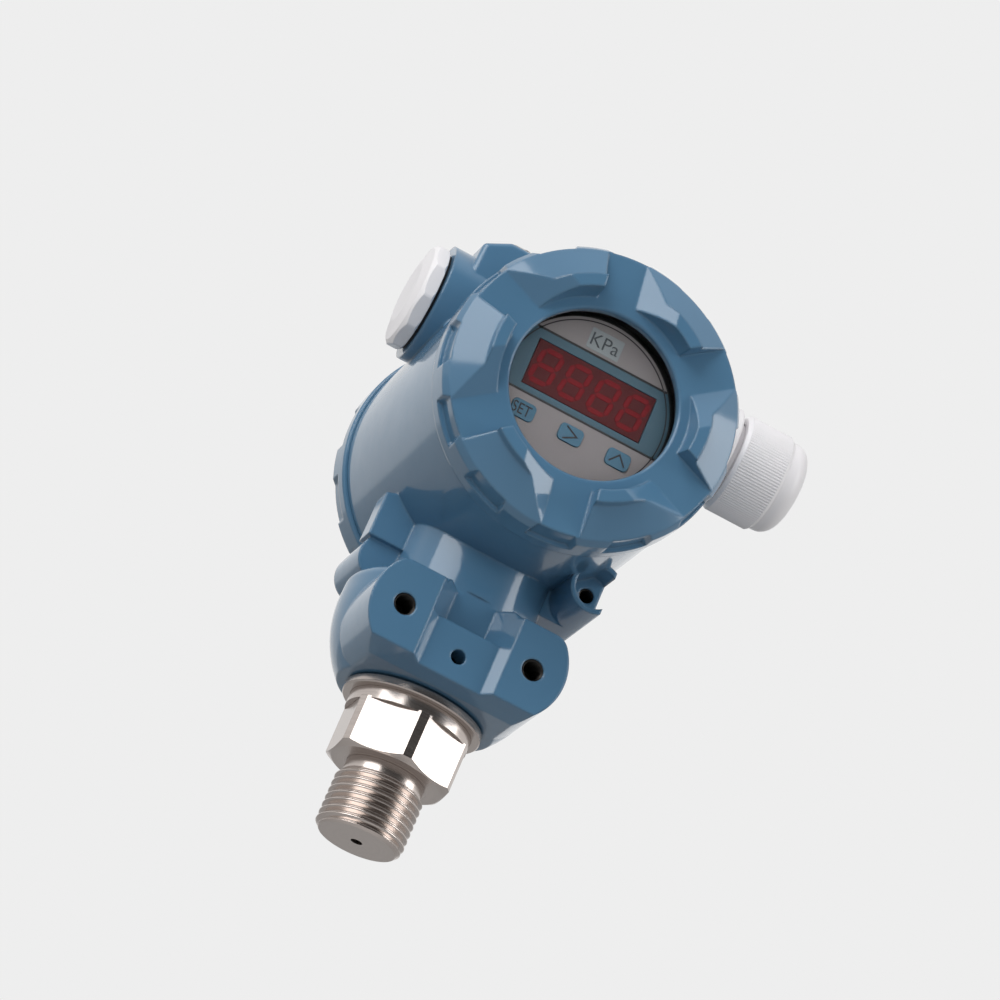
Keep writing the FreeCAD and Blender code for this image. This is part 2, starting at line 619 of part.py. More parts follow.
earth_lug = cut("earth_lug", earth_stem, [
    rod("earth_cup", "earth_cup_r", "earth_cup_depth", backward("earth_x", EARTH_Z, "-earth_len")),
    rod("earth_hole", "earth_hole_r", "earth_cup_depth + earth_hole_depth",
        backward("earth_x", EARTH_Z, "-earth_len")),
    block("earth_side", ("earth_side_x", "earth_x + earth_r + 1"), ("-earth_len", "earth_back"),
          (EARTH_Z + " - earth_r", EARTH_Z + " + earth_r")),
])
TAG_Z = "barrel_axis_z - tag_drop"
tag_lug = joined("tag_lug", [
    rod("tag_rod", "tag_r", "tag_front + tag_back", backward("-tag_x", TAG_Z, "-tag_front")),
    block("tag_foot", ("-tag_x", "-neck_bore_r - web_wall"), ("-tag_front", "tag_back - tag_foot_inset"),
          (TAG_Z + " - tag_r", TAG_Z + " + tag_r")),
    plate("tag_web", [
        ("-tag_web_x", "-tag_web_drop"),
        ("-neck_bore_r - web_wall", "-tag_web_drop"),
        ("-neck_bore_r - web_wall", "web_bite - barrel_r"),
        ("tag_web_slope - tag_web_x", "tag_web_slope / 3 - tag_web_top_drop"),
        ("-tag_web_x", "-tag_web_top_drop"),
    ], "tag_web_out + tag_web_back", forward(0, "barrel_axis_z", "-tag_web_back")),
])

pad = plate("pad", [
    ("-hump_x", "conduit_rise - hump_drop"),
    ("hump_x", "conduit_rise - hump_drop"),
    ("hump_shoulder_x", "hump_rise - hump_fall"),
    ("hump_flat_x", "hump_rise"),
    ("-hump_flat_x", "hump_rise"),
    ("-hump_shoulder_x", "hump_rise - hump_fall"),
], "hump_front + hump_back", forward(0, "barrel_axis_z", "-conduit_y - hump_back"))
doc.recompute()
raw_pad = pad.Tip
pad_round = pad.newObject("PartDesign::Fillet", "pad_round")
pad_round.Base = (raw_pad, [
    "Edge%d" % i for i, edge in enumerate(raw_pad.Shape.Edges, 1)
    if edge.BoundBox.YMax > edge.BoundBox.YMin or edge.BoundBox.YMin > number("conduit_rise")
])
pad_round.setExpression("Radius", bound("hump_round"))
pad.Tip = pad_round
conduits = rod("conduits", "conduit_r", "2 * " + CONDUIT_X, sideways("-" + CONDUIT_X))

boss_recess = plate("boss_recess", [
    ("-boss_inner_x", "-boss_face - 1"),
    ("boss_inner_x", "-boss_face - 1"),
    ("boss_inner_x", "-boss_face"),
    ("recess_x", "-recess_y"),
    ("-recess_x", "-recess_y"),
    ("-boss_inner_x", "-boss_face"),
], "base_top_z - mid_face_top_z + 1", placed(0, 0, "mid_face_top_z"))
mid_recess = plate("mid_recess", [
    ("-boss_inner_x", "-boss_face - 1"),
    ("boss_inner_x", "-boss_face - 1"),
    ("boss_inner_x", "-boss_face"),
    ("mid_face_x", "-mid_face"),
    ("-mid_face_x", "-mid_face"),
    ("-boss_inner_x", "-boss_face"),
], "mid_face_top_z - base_bottom_z + 2", placed(0, 0, "base_bottom_z - 1"))
underside = plate("underside", [
    ("-boss_face - 1", "base_bottom_z - 1"),
    ("-boss_under_y", "base_bottom_z - 1"),
    ("-boss_under_y", "base_bottom_z"),
    ("-boss_face", "boss_low_z"),
    ("-boss_face - 1", "boss_low_z"),
], "2 * base_ball_r + 2", placed("-base_ball_r - 1", 0, 0, ("z", 90), ("x", 90)))

solid = joined("casting", [
    barrel, neck, base,
    bosses, pad, conduits, earth_lug, tag_lug,
])

front_bore = rod(
    "front_bore", "cavity_r", "front_seam - partition_front",
    forward(0, "barrel_axis_z", "partition_front"))
front_thread = rod(
    "front_thread", "cover_thread_r", "cover_thread_depth",
    forward(0, "barrel_axis_z", "front_seam - seam_gap - cover_thread_depth"))
front_seat = rod(
    "front_seat", SEAL_SEAT_R, "seal_seat_depth",
    forward(0, "barrel_axis_z", "front_seam - seam_gap - seal_seat_depth"))
rear_bore = rod(
    "rear_bore", "cavity_r", "rear_seam + partition_back",
    backward(0, "barrel_axis_z", "-partition_back"))
rear_thread = rod(
    "rear_thread", "cover_thread_r", "cover_thread_depth",
    backward(0, "barrel_axis_z", "rear_seam - seam_gap - cover_thread_depth"))
rear_seat = rod(
    "rear_seat", SEAL_SEAT_R, "seal_seat_depth",
    backward(0, "barrel_axis_z", "rear_seam - seam_gap - seal_seat_depth"))
entries = rod("entries", "entry_r", "2 * %s + 2" % CONDUIT_X, sideways("-%s - 1" % CONDUIT_X))
stub_bore = rod(
    "stub_bore", "stub_r + thread_play", "stub_top_z + 1.5 - base_bottom_z + 1",
    placed(0, 0, "base_bottom_z - 1"))
neck_bore = rod("neck_bore", "neck_bore_r", "barrel_axis_z - boss_mid_z - 12",
                placed(0, 0, "boss_mid_z - 1"))
LEAD_Z = "barrel_axis_z - lead_drop"
PIN_Z = "barrel_axis_z - plug_pin_drop"
lead_hole = rod("lead_hole", "lead_hole_r", "partition_front - partition_back + 4",
                forward(0, LEAD_Z, "partition_back - 2"))
pin_hole = rod("pin_hole", "plug_pin_r + loose_fit", "partition_front - partition_back + 4",
               forward(0, PIN_Z, "partition_back - 2"))
holes = [
    rod("boss_hole_%d" % i, "boss_hole_r", "boss_hole_depth",
        backward("%d * boss_hole_x" % side, "boss_hole_z", "-boss_face"))
    for i, side in enumerate((1, -1))
]
lock_hole = rod("lock_hole", "lock_hole_r", "mid_face", backward(0, "lock_hole_z", "-mid_face"))
STACK_ANGLES = (50, 130, 240, 300)
stack_holes = [
    rod("stack_hole_%d" % i, "stack_screw_r + snug_hole", "stack_screw_grip + 0.3",
        backward("stack_ring_r * cos(%d)" % a, "barrel_axis_z + stack_ring_r * sin(%d)" % a,
                 "-partition_front"))
    for i, a in enumerate(STACK_ANGLES)
]
BLOCK_SCREW_Z = "barrel_axis_z + block_screw_rise"
GROUND_Z = "barrel_axis_z - ground_drop"
block_holes = [
    rod("block_hole_%d" % i, "block_screw_r + snug_hole", "screw_bite + 0.2",
        forward("%d * block_screw_x" % side, BLOCK_SCREW_Z, "partition_back"))
    for i, side in enumerate((1, -1))
]
ground_hole = rod("ground_hole", "terminal_screw_r + snug_hole", "screw_bite + 0.2",
                  forward("ground_x", GROUND_Z, "partition_back"))
rivet_holes = [
    rod("rivet_hole_%d" % i, "rivet_r + snug_hole", "rivet_depth + 0.3",
        placed("%d * rivet_x" % sx, "conduit_y + %d * rivet_y" % sy, HUMP_Z + " - rivet_depth - 0.3"))
    for i, (sx, sy) in enumerate(((1, 1), (1, -1), (-1, 1), (-1, -1)))
]
housing = cut(
    "housing", solid,
    [boss_recess, mid_recess, underside, front_bore, front_thread, front_seat, rear_bore, rear_thread,
     rear_seat, entries, stub_bore, neck_bore, lead_hole, pin_hole, lock_hole, ground_hole]
    + holes + stack_holes + block_holes + rivet_holes)

lock_screw = rod(
    "lock_screw", "lock_hole_r - snug_hole", "lock_screw_len",
    forward(0, "lock_hole_z", "stub_r + thread_play + 0.1"))

# ---------------------------------------------------------------- process fitting
fitting_turning = turned("fitting_turning", [
    ("port_r", "0"),
    ("process_thread_r - process_chamfer", "0"),
    ("process_thread_r", "process_chamfer"),
    ("process_thread_r", "process_thread_len"),
    ("relief_r", "process_thread_len + 0.9"),
    ("relief_r", "hex_low_z + 0.5"),
    ("collar_r - 3", "hex_low_z + 0.5"),
    ("collar_r - 3", "hex_top_z - 0.5"),
    ("collar_r", "hex_top_z - 0.5"),
    ("collar_r", "flange_low_z"),
    ("flange_r - 0.3", "flange_low_z"),
    ("flange_r", "flange_low_z + 0.3"),
    ("flange_r", "base_bottom_z - seam_gap - 0.3"),
    ("flange_r - 0.3", "base_bottom_z - seam_gap"),
    ("stub_r", "base_bottom_z - seam_gap"),
    ("stub_r", "stub_seal_z - stub_seal_wire_r - 0.2"),
    ("stub_seal_floor_r", "stub_seal_z - stub_seal_wire_r - 0.2"),
    ("stub_seal_floor_r", "stub_seal_z + stub_seal_wire_r + 0.2"),
    ("stub_r", "stub_seal_z + stub_seal_wire_r + 0.2"),
    ("stub_r", "stub_top_z - edge_break"),
    ("stub_r - edge_break", "stub_top_z"),
    ("sensor_r + loose_fit", "stub_top_z"),
    ("sensor_r + loose_fit", "sensor_floor_z"),
    ("port_r", "sensor_floor_z"),
])
hex_bar = prism("hex_bar", 6, "hex_flats", "hex_top_z - hex_low_z", placed(0, 0, "hex_low_z", ("z", 30)))
hex_blank = turned("hex_blank", [
    ("relief_r - 1", "hex_low_z"),
    ("hex_flats / 2 - 0.3", "hex_low_z"),
    ("hex_blank_r", "hex_low_z + (hex_blank_r - hex_flats / 2 + 0.3) * tan(30)"),
    ("hex_blank_r", "hex_top_z"),
    ("relief_r - 1", "hex_top_z"),
    ("relief_r - 1", "sensor_floor_z"),
])
hex_part = common("hex_part", hex_bar, hex_blank)
hollow = cut("hollow", hex_part, [
    rod("pocket_room", "sensor_r + loose_fit", "sensor_len", placed(0, 0, "sensor_floor_z"))])
process_fitting = joined("process_fitting", [fitting_turning, hollow])
fitting_seal = seal("fitting_seal", "stub_seal_mid_r", "stub_seal_wire_r", placed(0, 0, "stub_seal_z"))

sensor_cell = turned("sensor_cell", [
    ("0", "sensor_floor_z + 0.2"),
    ("sensor_r - edge_break", "sensor_floor_z + 0.2"),
    ("sensor_r", "sensor_floor_z + 0.2 + edge_break"),
    ("sensor_r", "sensor_seal_z - sensor_seal_wire_r - 0.2"),
    ("sensor_seal_floor_r", "sensor_seal_z - sensor_seal_wire_r - 0.2"),
    ("sensor_seal_floor_r", "sensor_seal_z + sensor_seal_wire_r + 0.2"),
    ("sensor_r", "sensor_seal_z + sensor_seal_wire_r + 0.2"),
    ("sensor_r", "sensor_floor_z + sensor_len"),
    ("header_r", "sensor_floor_z + sensor_len"),
    ("header_r", "sensor_floor_z + sensor_len + 3.4"),
    ("0", "sensor_floor_z + sensor_len + 3.4"),
])
sensor_seal = seal("sensor_seal", "sensor_seal_mid_r", "sensor_seal_wire_r", placed(0, 0, "sensor_seal_z"))
sensor_nut = ring(
    "sensor_nut",
    "sensor_floor_z + sensor_len",
    "sensor_floor_z + sensor_len + sensor_nut_len",
    "sensor_nut_bore_r",
    "sensor_r + loose_fit - thread_play")
LEAD_START = "sensor_floor_z + sensor_len + 3.4"
lead_up = rod("lead_up", "lead_r", "%s - lead_bend_r - (%s)" % (LEAD_Z, LEAD_START),
              placed(0, 0, LEAD_START))
lead_bend = doc.addObject("Part::Torus", "lead_bend")
lead_bend.setExpression("Radius1", bound("lead_bend_r"))
lead_bend.setExpression("Radius2", bound("lead_r"))
lead_bend.Angle3 = 90
lead_bend.setExpression(
    "Placement", bound(placed(0, "-lead_bend_r", LEAD_Z + " - lead_bend_r", ("z", 90), ("x", 90))))
lead_on = rod("lead_on", "lead_r", "main_board_out - lead_bend_r", forward(0, LEAD_Z, "lead_bend_r"))
sensor_lead = joined("sensor_lead", [lead_up, lead_bend, lead_on])

# ---------------------------------------------------------------- boards and display
def stacked(name, radius, low, high):
    """Rods on the board screw circle between two distances in front of the stem."""
    return [
        rod("%s_%d" % (name, i), radius, "(%s) - (%s)" % (high, low),
            forward("stack_ring_r * cos(%d)" % a, "barrel_axis_z + stack_ring_r * sin(%d)" % a, low))
        for i, a in enumerate(STACK_ANGLES)
    ]


def board(name, radius, back):
    disc = rod(name + "_disc", radius, "board_t", forward(0, "barrel_axis_z", back))
    return cut(name, disc, stacked(name + "_hole", "stack_screw_r + snug_hole", "%s - 1" % back,
                                   "%s + board_t + 1" % back))


def spacers(name, low, high):
    tubes = stacked(name + "_tube", "spacer_r", low, high)
    bores = stacked(name + "_bore", "stack_screw_r + snug_hole", "%s - 1" % low, "%s + 1" % high)
    return group(name, [cut("%s_%d" % (name, i), t, [b]) for i, (t, b) in enumerate(zip(tubes, bores))])


main_board = board("main_board", "main_board_r", "main_board_out")
display_board = board("display_board", "display_board_r", "display_board_out")
rear_spacers = spacers("rear_spacers", "partition_front", "main_board_out")
front_spacers = spacers("front_spacers", "main_board_out + board_t", "display_board_out")
shanks = stacked(
    "stack_shank", "stack_screw_r", "partition_front - stack_screw_grip", "display_board_out + board_t")
heads = stacked(
    "stack_head", "stack_head_r", "display_board_out + board_t",
    "display_board_out + board_t + stack_head_t")
board_screws = group("board_screws", [
    joined("board_screw_%d" % i, list(pair)) for i, pair in enumerate(zip(shanks, heads))
])
CHIP_SEAT = "main_board_out + board_t"


def chip(name, x, rise, side, tall, height):
    """Component on the front of the main board, placed by its lower left corner."""
    return block(
        name, (x, "%s + %s" % (x, side)),
        ("-(%s) - %s" % (CHIP_SEAT, height), "-(%s)" % CHIP_SEAT),
        ("barrel_axis_z + " + rise, "barrel_axis_z + %s + %s" % (rise, tall)))


main_chips = group("main_chips", [
    chip("processor", "-chip_side / 2", "-chip_side / 5", "chip_side", "chip_side", "chip_t"),
    chip("coil", "-chip_side - coil_w", "-coil_tall", "coil_w", "coil_tall", "coil_t"),
    chip("driver", "chip_side", "-coil_tall", "coil_w", "coil_w", "driver_t"),
])

DISPLAY_FACE = "bezel_face_out + faceplate_t"
KEY_Z = "barrel_axis_z - key_drop"


def key_sites():
    return [("key_set", -1), ("key_shift", 0), ("key_up", 1)]


def key_block(name, step, grow, low, high):
    """Box round one key position between two distances in front of the stem."""
    middle = "%d * key_pitch" % step
    return block(
        name,
        ("%s - key_w / 2 - %s" % (middle, grow), "%s + key_w / 2 + %s" % (middle, grow)),
        ("-(%s)" % high, "-(%s)" % low),
        (KEY_Z + " - key_tall / 2 - " + grow, KEY_Z + " + key_tall / 2 + " + grow))


def led_block(name, grow, low, high):
    return block(
        name, ("-led_half_x - %s" % grow, "led_half_x + %s" % grow),
        ("-(%s)" % high, "-(%s)" % low),
        ("barrel_axis_z - led_drop - %s" % grow, "barrel_axis_z + led_rise + %s" % grow))


bezel_shell = turned("bezel_shell", [
    ("bezel_r - bezel_wall", "0"),
    ("bezel_r", "0"),
    ("bezel_r", "bezel_step_out - display_board_out - board_t - 0.6"),
    ("bezel_r - 0.6", "bezel_step_out - display_board_out - board_t"),
    ("bezel_face_r", "bezel_step_out - display_board_out - board_t"),
    ("bezel_face_r", "bezel_face_out - display_board_out - board_t"),
    ("0", "bezel_face_out - display_board_out - board_t"),
    ("0", "bezel_face_out - display_board_out - board_t - bezel_wall"),
    ("bezel_face_r - bezel_wall", "bezel_face_out - display_board_out - board_t - bezel_wall"),
    ("bezel_face_r - bezel_wall", "bezel_step_out - display_board_out - board_t - bezel_wall"),
    ("bezel_r - bezel_wall", "bezel_step_out - display_board_out - board_t - bezel_wall"),
], placed(0, "-display_board_out - board_t", "barrel_axis_z", ("x", 90)))
bezel_cuts = [led_block("bezel_led", "0", "bezel_face_out - bezel_wall - 1", DISPLAY_FACE)]
bezel_cuts += [
    key_block("bezel_" + name, step, "snug", "bezel_face_out - bezel_wall - 1", DISPLAY_FACE)
    for name, step in key_sites()
]
display_bezel = cut("display_bezel", bezel_shell, bezel_cuts)
faceplate_disc = rod("faceplate_disc", "faceplate_r", "faceplate_t",
                     forward(0, "barrel_axis_z", "bezel_face_out"))
faceplate_cuts = [led_block("faceplate_led", "0", "bezel_face_out - 1", DISPLAY_FACE + " + 1")]
faceplate_cuts += [
    key_block("faceplate_" + name, step, "snug", "bezel_face_out - 1", DISPLAY_FACE + " + 1")
    for name, step in key_sites()
]
display_faceplate = cut("display_faceplate", faceplate_disc, faceplate_cuts)
led_window = led_block("led_window", "-snug", DISPLAY_FACE + " - led_window_t", DISPLAY_FACE)
led_module = led_block(
    "led_module", "-snug", DISPLAY_FACE + " - led_window_t - led_module_depth",
    DISPLAY_FACE + " - led_window_t")


def key(name, step):
    top = DISPLAY_FACE + " + key_proud"
    pad_block = key_block(name + "_pad", step, "0", top + " - key_pad_t", top)
    low = "display_board_out + board_t + switch_tall + key_travel + 0.1"
    stem = rod(
        name + "_stem", "key_stem_r", "(%s - key_pad_t) - (%s)" % (top, low),
        forward("%d * key_pitch" % step, KEY_Z, low))
    return joined(name, [pad_block, stem])


keys = [key(name, step) for name, step in key_sites()]
key_switches = group("key_switches", [
    block(
        "switch_%d" % i,
        ("%d * key_pitch - switch_side / 2" % step, "%d * key_pitch + switch_side / 2" % step),
        ("-display_board_out - board_t - switch_tall", "-display_board_out - board_t"),
        (KEY_Z + " - switch_side / 2", KEY_Z + " + switch_side / 2"))
    for i, (name, step) in enumerate(key_sites())
])

# ---------------------------------------------------------------- terminals
BLOCK_LOW = "barrel_axis_z - block_drop"
BLOCK_HIGH = "barrel_axis_z + block_rise"
TERMINAL_Z = "barrel_axis_z - terminal_drop"
block_back = block(
    "block_back", ("-block_x", "block_x"), ("-partition_back", "block_depth - partition_back - block_step"),
    (BLOCK_LOW, BLOCK_HIGH))
block_head = block(
    "block_head", ("-block_x", "block_x"), ("-partition_back", "block_depth - partition_back"),
    ("barrel_axis_z - block_ledge", BLOCK_HIGH))
block_pin = rod("block_pin", "plug_pin_r", "main_board_out - partition_back",
                forward(0, PIN_Z, "partition_back"))
TERMINAL_FACE = "block_depth - partition_back - block_step"
SCREW_FLOOR = TERMINAL_FACE + " - terminal_screw_len"


def terminals(name, radius, low, high):
    return [
        rod("%s_%d" % (name, i), radius, "(%s) - (%s)" % (high, low),
            backward("%d * terminal_pitch" % step, TERMINAL_Z, low))
        for i, step in enumerate((-1, 0, 1))
    ]


def block_bolts(name, radius, low, high):
    return [
        rod("%s_%d" % (name, i), radius, "(%s) - (%s)" % (high, low),
            backward("%d * block_screw_x" % side, BLOCK_SCREW_Z, low))
        for i, side in enumerate((-1, 1))
    ]


HEAD_SEAT = "block_depth - partition_back - 3"
terminal_block = cut(
    "terminal_block", joined("block_whole", [block_back, block_head, block_pin]),
    terminals("block_bore", "terminal_screw_r + snug_hole", SCREW_FLOOR, TERMINAL_FACE)
    + block_bolts("block_way", "block_screw_r + snug_hole", "-partition_back - 1", HEAD_SEAT)
    + block_bolts("block_sink", "block_head_r + loose_fit", HEAD_SEAT, HEAD_SEAT + " + 4"))
terminal_plates = group("terminal_plates", [
    cut("terminal_plate_%d" % i, block(
        "terminal_square_%d" % i,
        ("%d * terminal_pitch - terminal_plate_w / 2" % step,
         "%d * terminal_pitch + terminal_plate_w / 2" % step),
        (TERMINAL_FACE, TERMINAL_FACE + " + terminal_plate_t"),
        (TERMINAL_Z + " - terminal_plate_w / 2", TERMINAL_Z + " + terminal_plate_w / 2")), [bore])
    for i, (step, bore) in enumerate(zip(
        (-1, 0, 1),
        terminals("plate_bore", "terminal_screw_r + snug_hole",
                  TERMINAL_FACE + " - 1", TERMINAL_FACE + " + 2")))
])
PLATE_TOP = TERMINAL_FACE + " + terminal_plate_t"
terminal_screws = group("terminal_screws", [
    joined("terminal_screw_%d" % i, list(pair)) for i, pair in enumerate(zip(
        terminals("terminal_shank", "terminal_screw_r", SCREW_FLOOR + " + 0.3", PLATE_TOP),
        terminals("terminal_head", "terminal_head_r", PLATE_TOP, PLATE_TOP + " + terminal_head_t")))
])
block_screws = group("block_screws", [
    joined("block_screw_%d" % i, list(pair)) for i, pair in enumerate(zip(
        block_bolts("block_shank", "block_screw_r", "-partition_back - screw_bite", HEAD_SEAT),
        block_bolts("block_cap", "block_head_r", HEAD_SEAT, HEAD_SEAT + " + block_head_t")))
])
ground_screw = joined("ground_screw", [
    rod("ground_shank", "terminal_screw_r", "screw_bite + terminal_head_t", forward(
        "ground_x", GROUND_Z, "partition_back - terminal_head_t")),
    rod("ground_cap", "terminal_head_r + 0.6", "terminal_head_t", forward(
        "ground_x", GROUND_Z, "partition_back - terminal_head_t")),
])

# ---------------------------------------------------------------- cable gland and plug
gland_washer = ring("gland_washer", 0, "gland_washer_t", "entry_r + 0.2", "gland_washer_r", RIGHT)
gland_turning = turned("gland_turning", [
    ("gland_bore_r", "-gland_thread_len"),
    ("entry_r - thread_play - edge_break", "-gland_thread_len"),
    ("entry_r - thread_play", "-gland_thread_len + edge_break"),
    ("entry_r - thread_play", "gland_hex_end"),
    ("gland_collar_r", "gland_hex_end"),
    ("gland_collar_r", "gland_collar_end - edge_break"),
    ("gland_collar_r - edge_break", "gland_collar_end"),
    ("gland_neck_r", "gland_collar_end"),
    ("gland_neck_r", "gland_neck_end"),
    ("gland_claw_r", "gland_claw_end"),
    ("gland_seal_r + snug", "gland_claw_end"),
    ("gland_seal_r + snug", "gland_seal_start - 0.1"),
    ("gland_bore_r", "gland_seal_start - 0.1"),
], RIGHT)
gland_hex = cut(
    "gland_hex",
    prism("gland_hex_bar", 6, "gland_hex_flats", "gland_hex_end - gland_washer_t",
          sideways(CONDUIT_X + " + gland_washer_t")),
    [rod("gland_hex_bore", "gland_neck_r", "gland_neck_end", sideways(CONDUIT_X))])
gland_body = joined("gland_body", [gland_turning, gland_hex])
gland_seal = ring(
    "gland_seal", "gland_seal_start", "gland_seal_end", "gland_seal_bore_r", "gland_seal_r", RIGHT)
gland_slip_ring = ring(
    "gland_slip_ring", "slip_ring_start", "slip_ring_start + slip_ring_t",
    "nut_hole_r", "slip_ring_r", RIGHT)
gland_nut = turned("gland_nut", [
    ("gland_neck_r + thread_play", "nut_start"),
    ("nut_r - edge_break", "nut_start"),
    ("nut_r", "nut_start + edge_break"),
    ("nut_r", "nut_side_end - 0.7"),
    ("nut_r - 0.7", "nut_side_end"),
    ("nut_shoulder_r", "nut_dome_start", "ccw", "nut_dome_r"),
    ("nut_nose_r", "nut_end"),
    ("nut_hole_r", "nut_end"),
    ("nut_hole_r", "nut_end - nut_wall"),
    ("nut_nose_r", "nut_end - nut_wall"),
    ("gland_neck_r + thread_play", "gland_claw_end + 0.6"),
], RIGHT)

plug_seal = ring("plug_seal", 0, "plug_seal_t", "entry_r + 0.2", "plug_seal_r", LEFT)
plug_head = common(
    "plug_head",
    turned("plug_envelope", [
        ("0", "plug_seal_t"),
        ("plug_blank_r - 0.4", "plug_seal_t"),
        ("plug_blank_r", "plug_seal_t + 0.4"),
        ("plug_blank_r", "plug_side_end"),
        ("plug_brow_r", "plug_brow_end"),
        ("plug_face_r", "plug_end"),
        ("0", "plug_end"),
    ], LEFT),
    prism("plug_bar", "plug_sides", "plug_flats", "plug_end + 1", LEFT))
plug_shank = turned("plug_shank", [
    ("0", "-gland_thread_len"),
    ("entry_r - thread_play - edge_break", "-gland_thread_len"),
    ("entry_r - thread_play", "-gland_thread_len + edge_break"),
    ("entry_r - thread_play", "plug_seal_t + 1"),
    ("0", "plug_seal_t + 1"),
], LEFT)
blanking_plug = joined("blanking_plug", [plug_head, plug_shank])

# ---------------------------------------------------------------- name plate
PLATE_SEAT = HUMP_Z + " + nameplate_pad_t"


def rivets(name, radius, low, high):
    return [
        rod("%s_%d" % (name, i), radius, "(%s) - (%s)" % (high, low),
            placed("%d * rivet_x" % sx, "conduit_y + %d * rivet_y" % sy, low))
        for i, (sx, sy) in enumerate(((1, 1), (1, -1), (-1, 1), (-1, -1)))
    ]


nameplate_blank = block(
    "nameplate_blank", ("-nameplate_x", "nameplate_x"),
    ("conduit_y - nameplate_y", "conduit_y + nameplate_y"), (PLATE_SEAT, PLATE_SEAT + " + nameplate_t"))
nameplate_pad = cut("nameplate_pad", block(
    "pad_blank", ("-nameplate_x + nameplate_inset", "nameplate_x - nameplate_inset"),
    ("conduit_y - nameplate_y + nameplate_inset", "conduit_y + nameplate_y - nameplate_inset"),
    (HUMP_Z, PLATE_SEAT)), rivets("pad_hole", "rivet_r + snug_hole", HUMP_Z + " - 1", PLATE_SEAT + " + 1"))
nameplate = cut("nameplate", nameplate_blank, rivets(
    "plate_hole", "rivet_r + snug_hole", HUMP_Z + " - 1", PLATE_SEAT + " + nameplate_t + 1"))
nameplate_rivets = group("nameplate_rivets", [
    joined("rivet_%d" % i, list(pair)) for i, pair in enumerate(zip(
        rivets("rivet_shank", "rivet_r", HUMP_Z + " - rivet_depth", PLATE_SEAT + " + nameplate_t"),
        rivets("rivet_head", "rivet_head_r", PLATE_SEAT + " + nameplate_t",
               PLATE_SEAT + " + nameplate_t + rivet_head_t")))
])

# ---------------------------------------------------------------- write one STEP per piece
dims.clear("Z1")
doc.recompute()
PIECES = [
    housing, front_cover, rear_cover, window_glass, window_gasket, glass_ring, front_cover_seal,
    rear_cover_seal, lock_screw, process_fitting, fitting_seal, sensor_cell, sensor_seal, sensor_nut,
    sensor_lead, main_board, main_chips, rear_spacers, front_spacers, board_screws, display_board,
    display_bezel, display_faceplate, led_window, led_module, key_switches, terminal_block,
    terminal_plates, terminal_screws, block_screws, ground_screw, gland_washer, gland_body, gland_seal,
    gland_slip_ring, gland_nut, plug_seal, blanking_plug, nameplate, nameplate_pad, nameplate_rivets,
] + keys
for item in doc.Objects:
    if "Invalid" in item.State or "Error" in item.State:
        raise RuntimeError("%s did not recompute" % item.Name)
for item in PIECES:
    item.Label = item.Name
    if item.Shape.isNull() or not item.Shape.isValid() or item.Shape.Volume <= 0:
        raise RuntimeError("%s has no sound shape" % item.Name)
    item.Shape.exportStep("parts/%s.step" % item.Name)
    box = item.Shape.BoundBox
    print("%-18s %2d solid(s) %9.1f mm3  x %6.1f %6.1f  y %6.1f %6.1f  z %6.1f %6.1f" % (
        item.Name, len(item.Shape.Solids), item.Shape.Volume,
        box.XMin, box.XMax, box.YMin, box.YMax, box.ZMin, box.ZMax))
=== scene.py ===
import json
import math

import bmesh
import bpy
from mathutils import Matrix, Vector

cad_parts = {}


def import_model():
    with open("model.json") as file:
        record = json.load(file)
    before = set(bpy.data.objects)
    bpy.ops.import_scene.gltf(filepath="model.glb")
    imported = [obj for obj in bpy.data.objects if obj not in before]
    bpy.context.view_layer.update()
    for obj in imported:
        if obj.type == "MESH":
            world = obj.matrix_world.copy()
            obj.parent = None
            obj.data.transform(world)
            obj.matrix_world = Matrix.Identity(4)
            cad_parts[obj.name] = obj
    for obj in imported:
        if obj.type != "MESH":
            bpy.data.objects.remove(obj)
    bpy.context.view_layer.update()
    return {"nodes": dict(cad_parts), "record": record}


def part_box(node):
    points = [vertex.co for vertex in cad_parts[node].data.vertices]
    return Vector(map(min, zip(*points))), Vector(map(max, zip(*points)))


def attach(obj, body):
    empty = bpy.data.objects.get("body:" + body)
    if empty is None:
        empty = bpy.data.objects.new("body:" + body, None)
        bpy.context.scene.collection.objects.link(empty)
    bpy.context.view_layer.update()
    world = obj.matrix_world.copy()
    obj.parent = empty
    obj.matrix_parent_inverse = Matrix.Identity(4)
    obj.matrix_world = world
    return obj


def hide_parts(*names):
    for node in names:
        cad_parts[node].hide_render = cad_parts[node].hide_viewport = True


MM = 0.001
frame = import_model()
NODES = frame["nodes"]
MOUNTS = {mount["name"]: mount for mount in frame["record"]["mounts"]}
scene = bpy.context.scene


# ---------------------------------------------------------------- places read from the frame
def centre(node):
    """Middle of a node's box."""
    low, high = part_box(node)
    return (low + high) / 2


AXIS_Z = centre("window_glass").z
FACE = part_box("display_faceplate")[0].y

# ---------------------------------------------------------------- sizes of the printed face
LINE_HIGH = AXIS_Z + 11.7 * MM
LINE_LOW = AXIS_Z - 4.3 * MM
UNIT_X = -0.8 * MM
UNIT_Z = AXIS_Z + 15.2 * MM
KEY_SIZE = (5.8 * MM, 4.2 * MM)
KEY_ROUND = 1.1 * MM
CORNER_STEPS = 6
INK_DEPTH = 0.02 * MM


# ---------------------------------------------------------------- node trees
COLOUR_SPAN = (0.35, 0.65)
ROUGH_SPAN = (0.3, 0.7)


def srgb(r, g, b):
    """Linear colour of a display colour given in 0-255."""
    linear = [((c / 255 + 0.055) / 1.055) ** 2.4 if c > 10.3 else c / 255 / 12.92 for c in (r, g, b)]
    return tuple(linear) + (1.0,)


def feed(socket, value, links):
    """Gives an input its source, which is another node's output or a constant."""
    if isinstance(value, bpy.types.NodeSocket):
        links.new(value, socket)
    else:
        socket.default_value = value


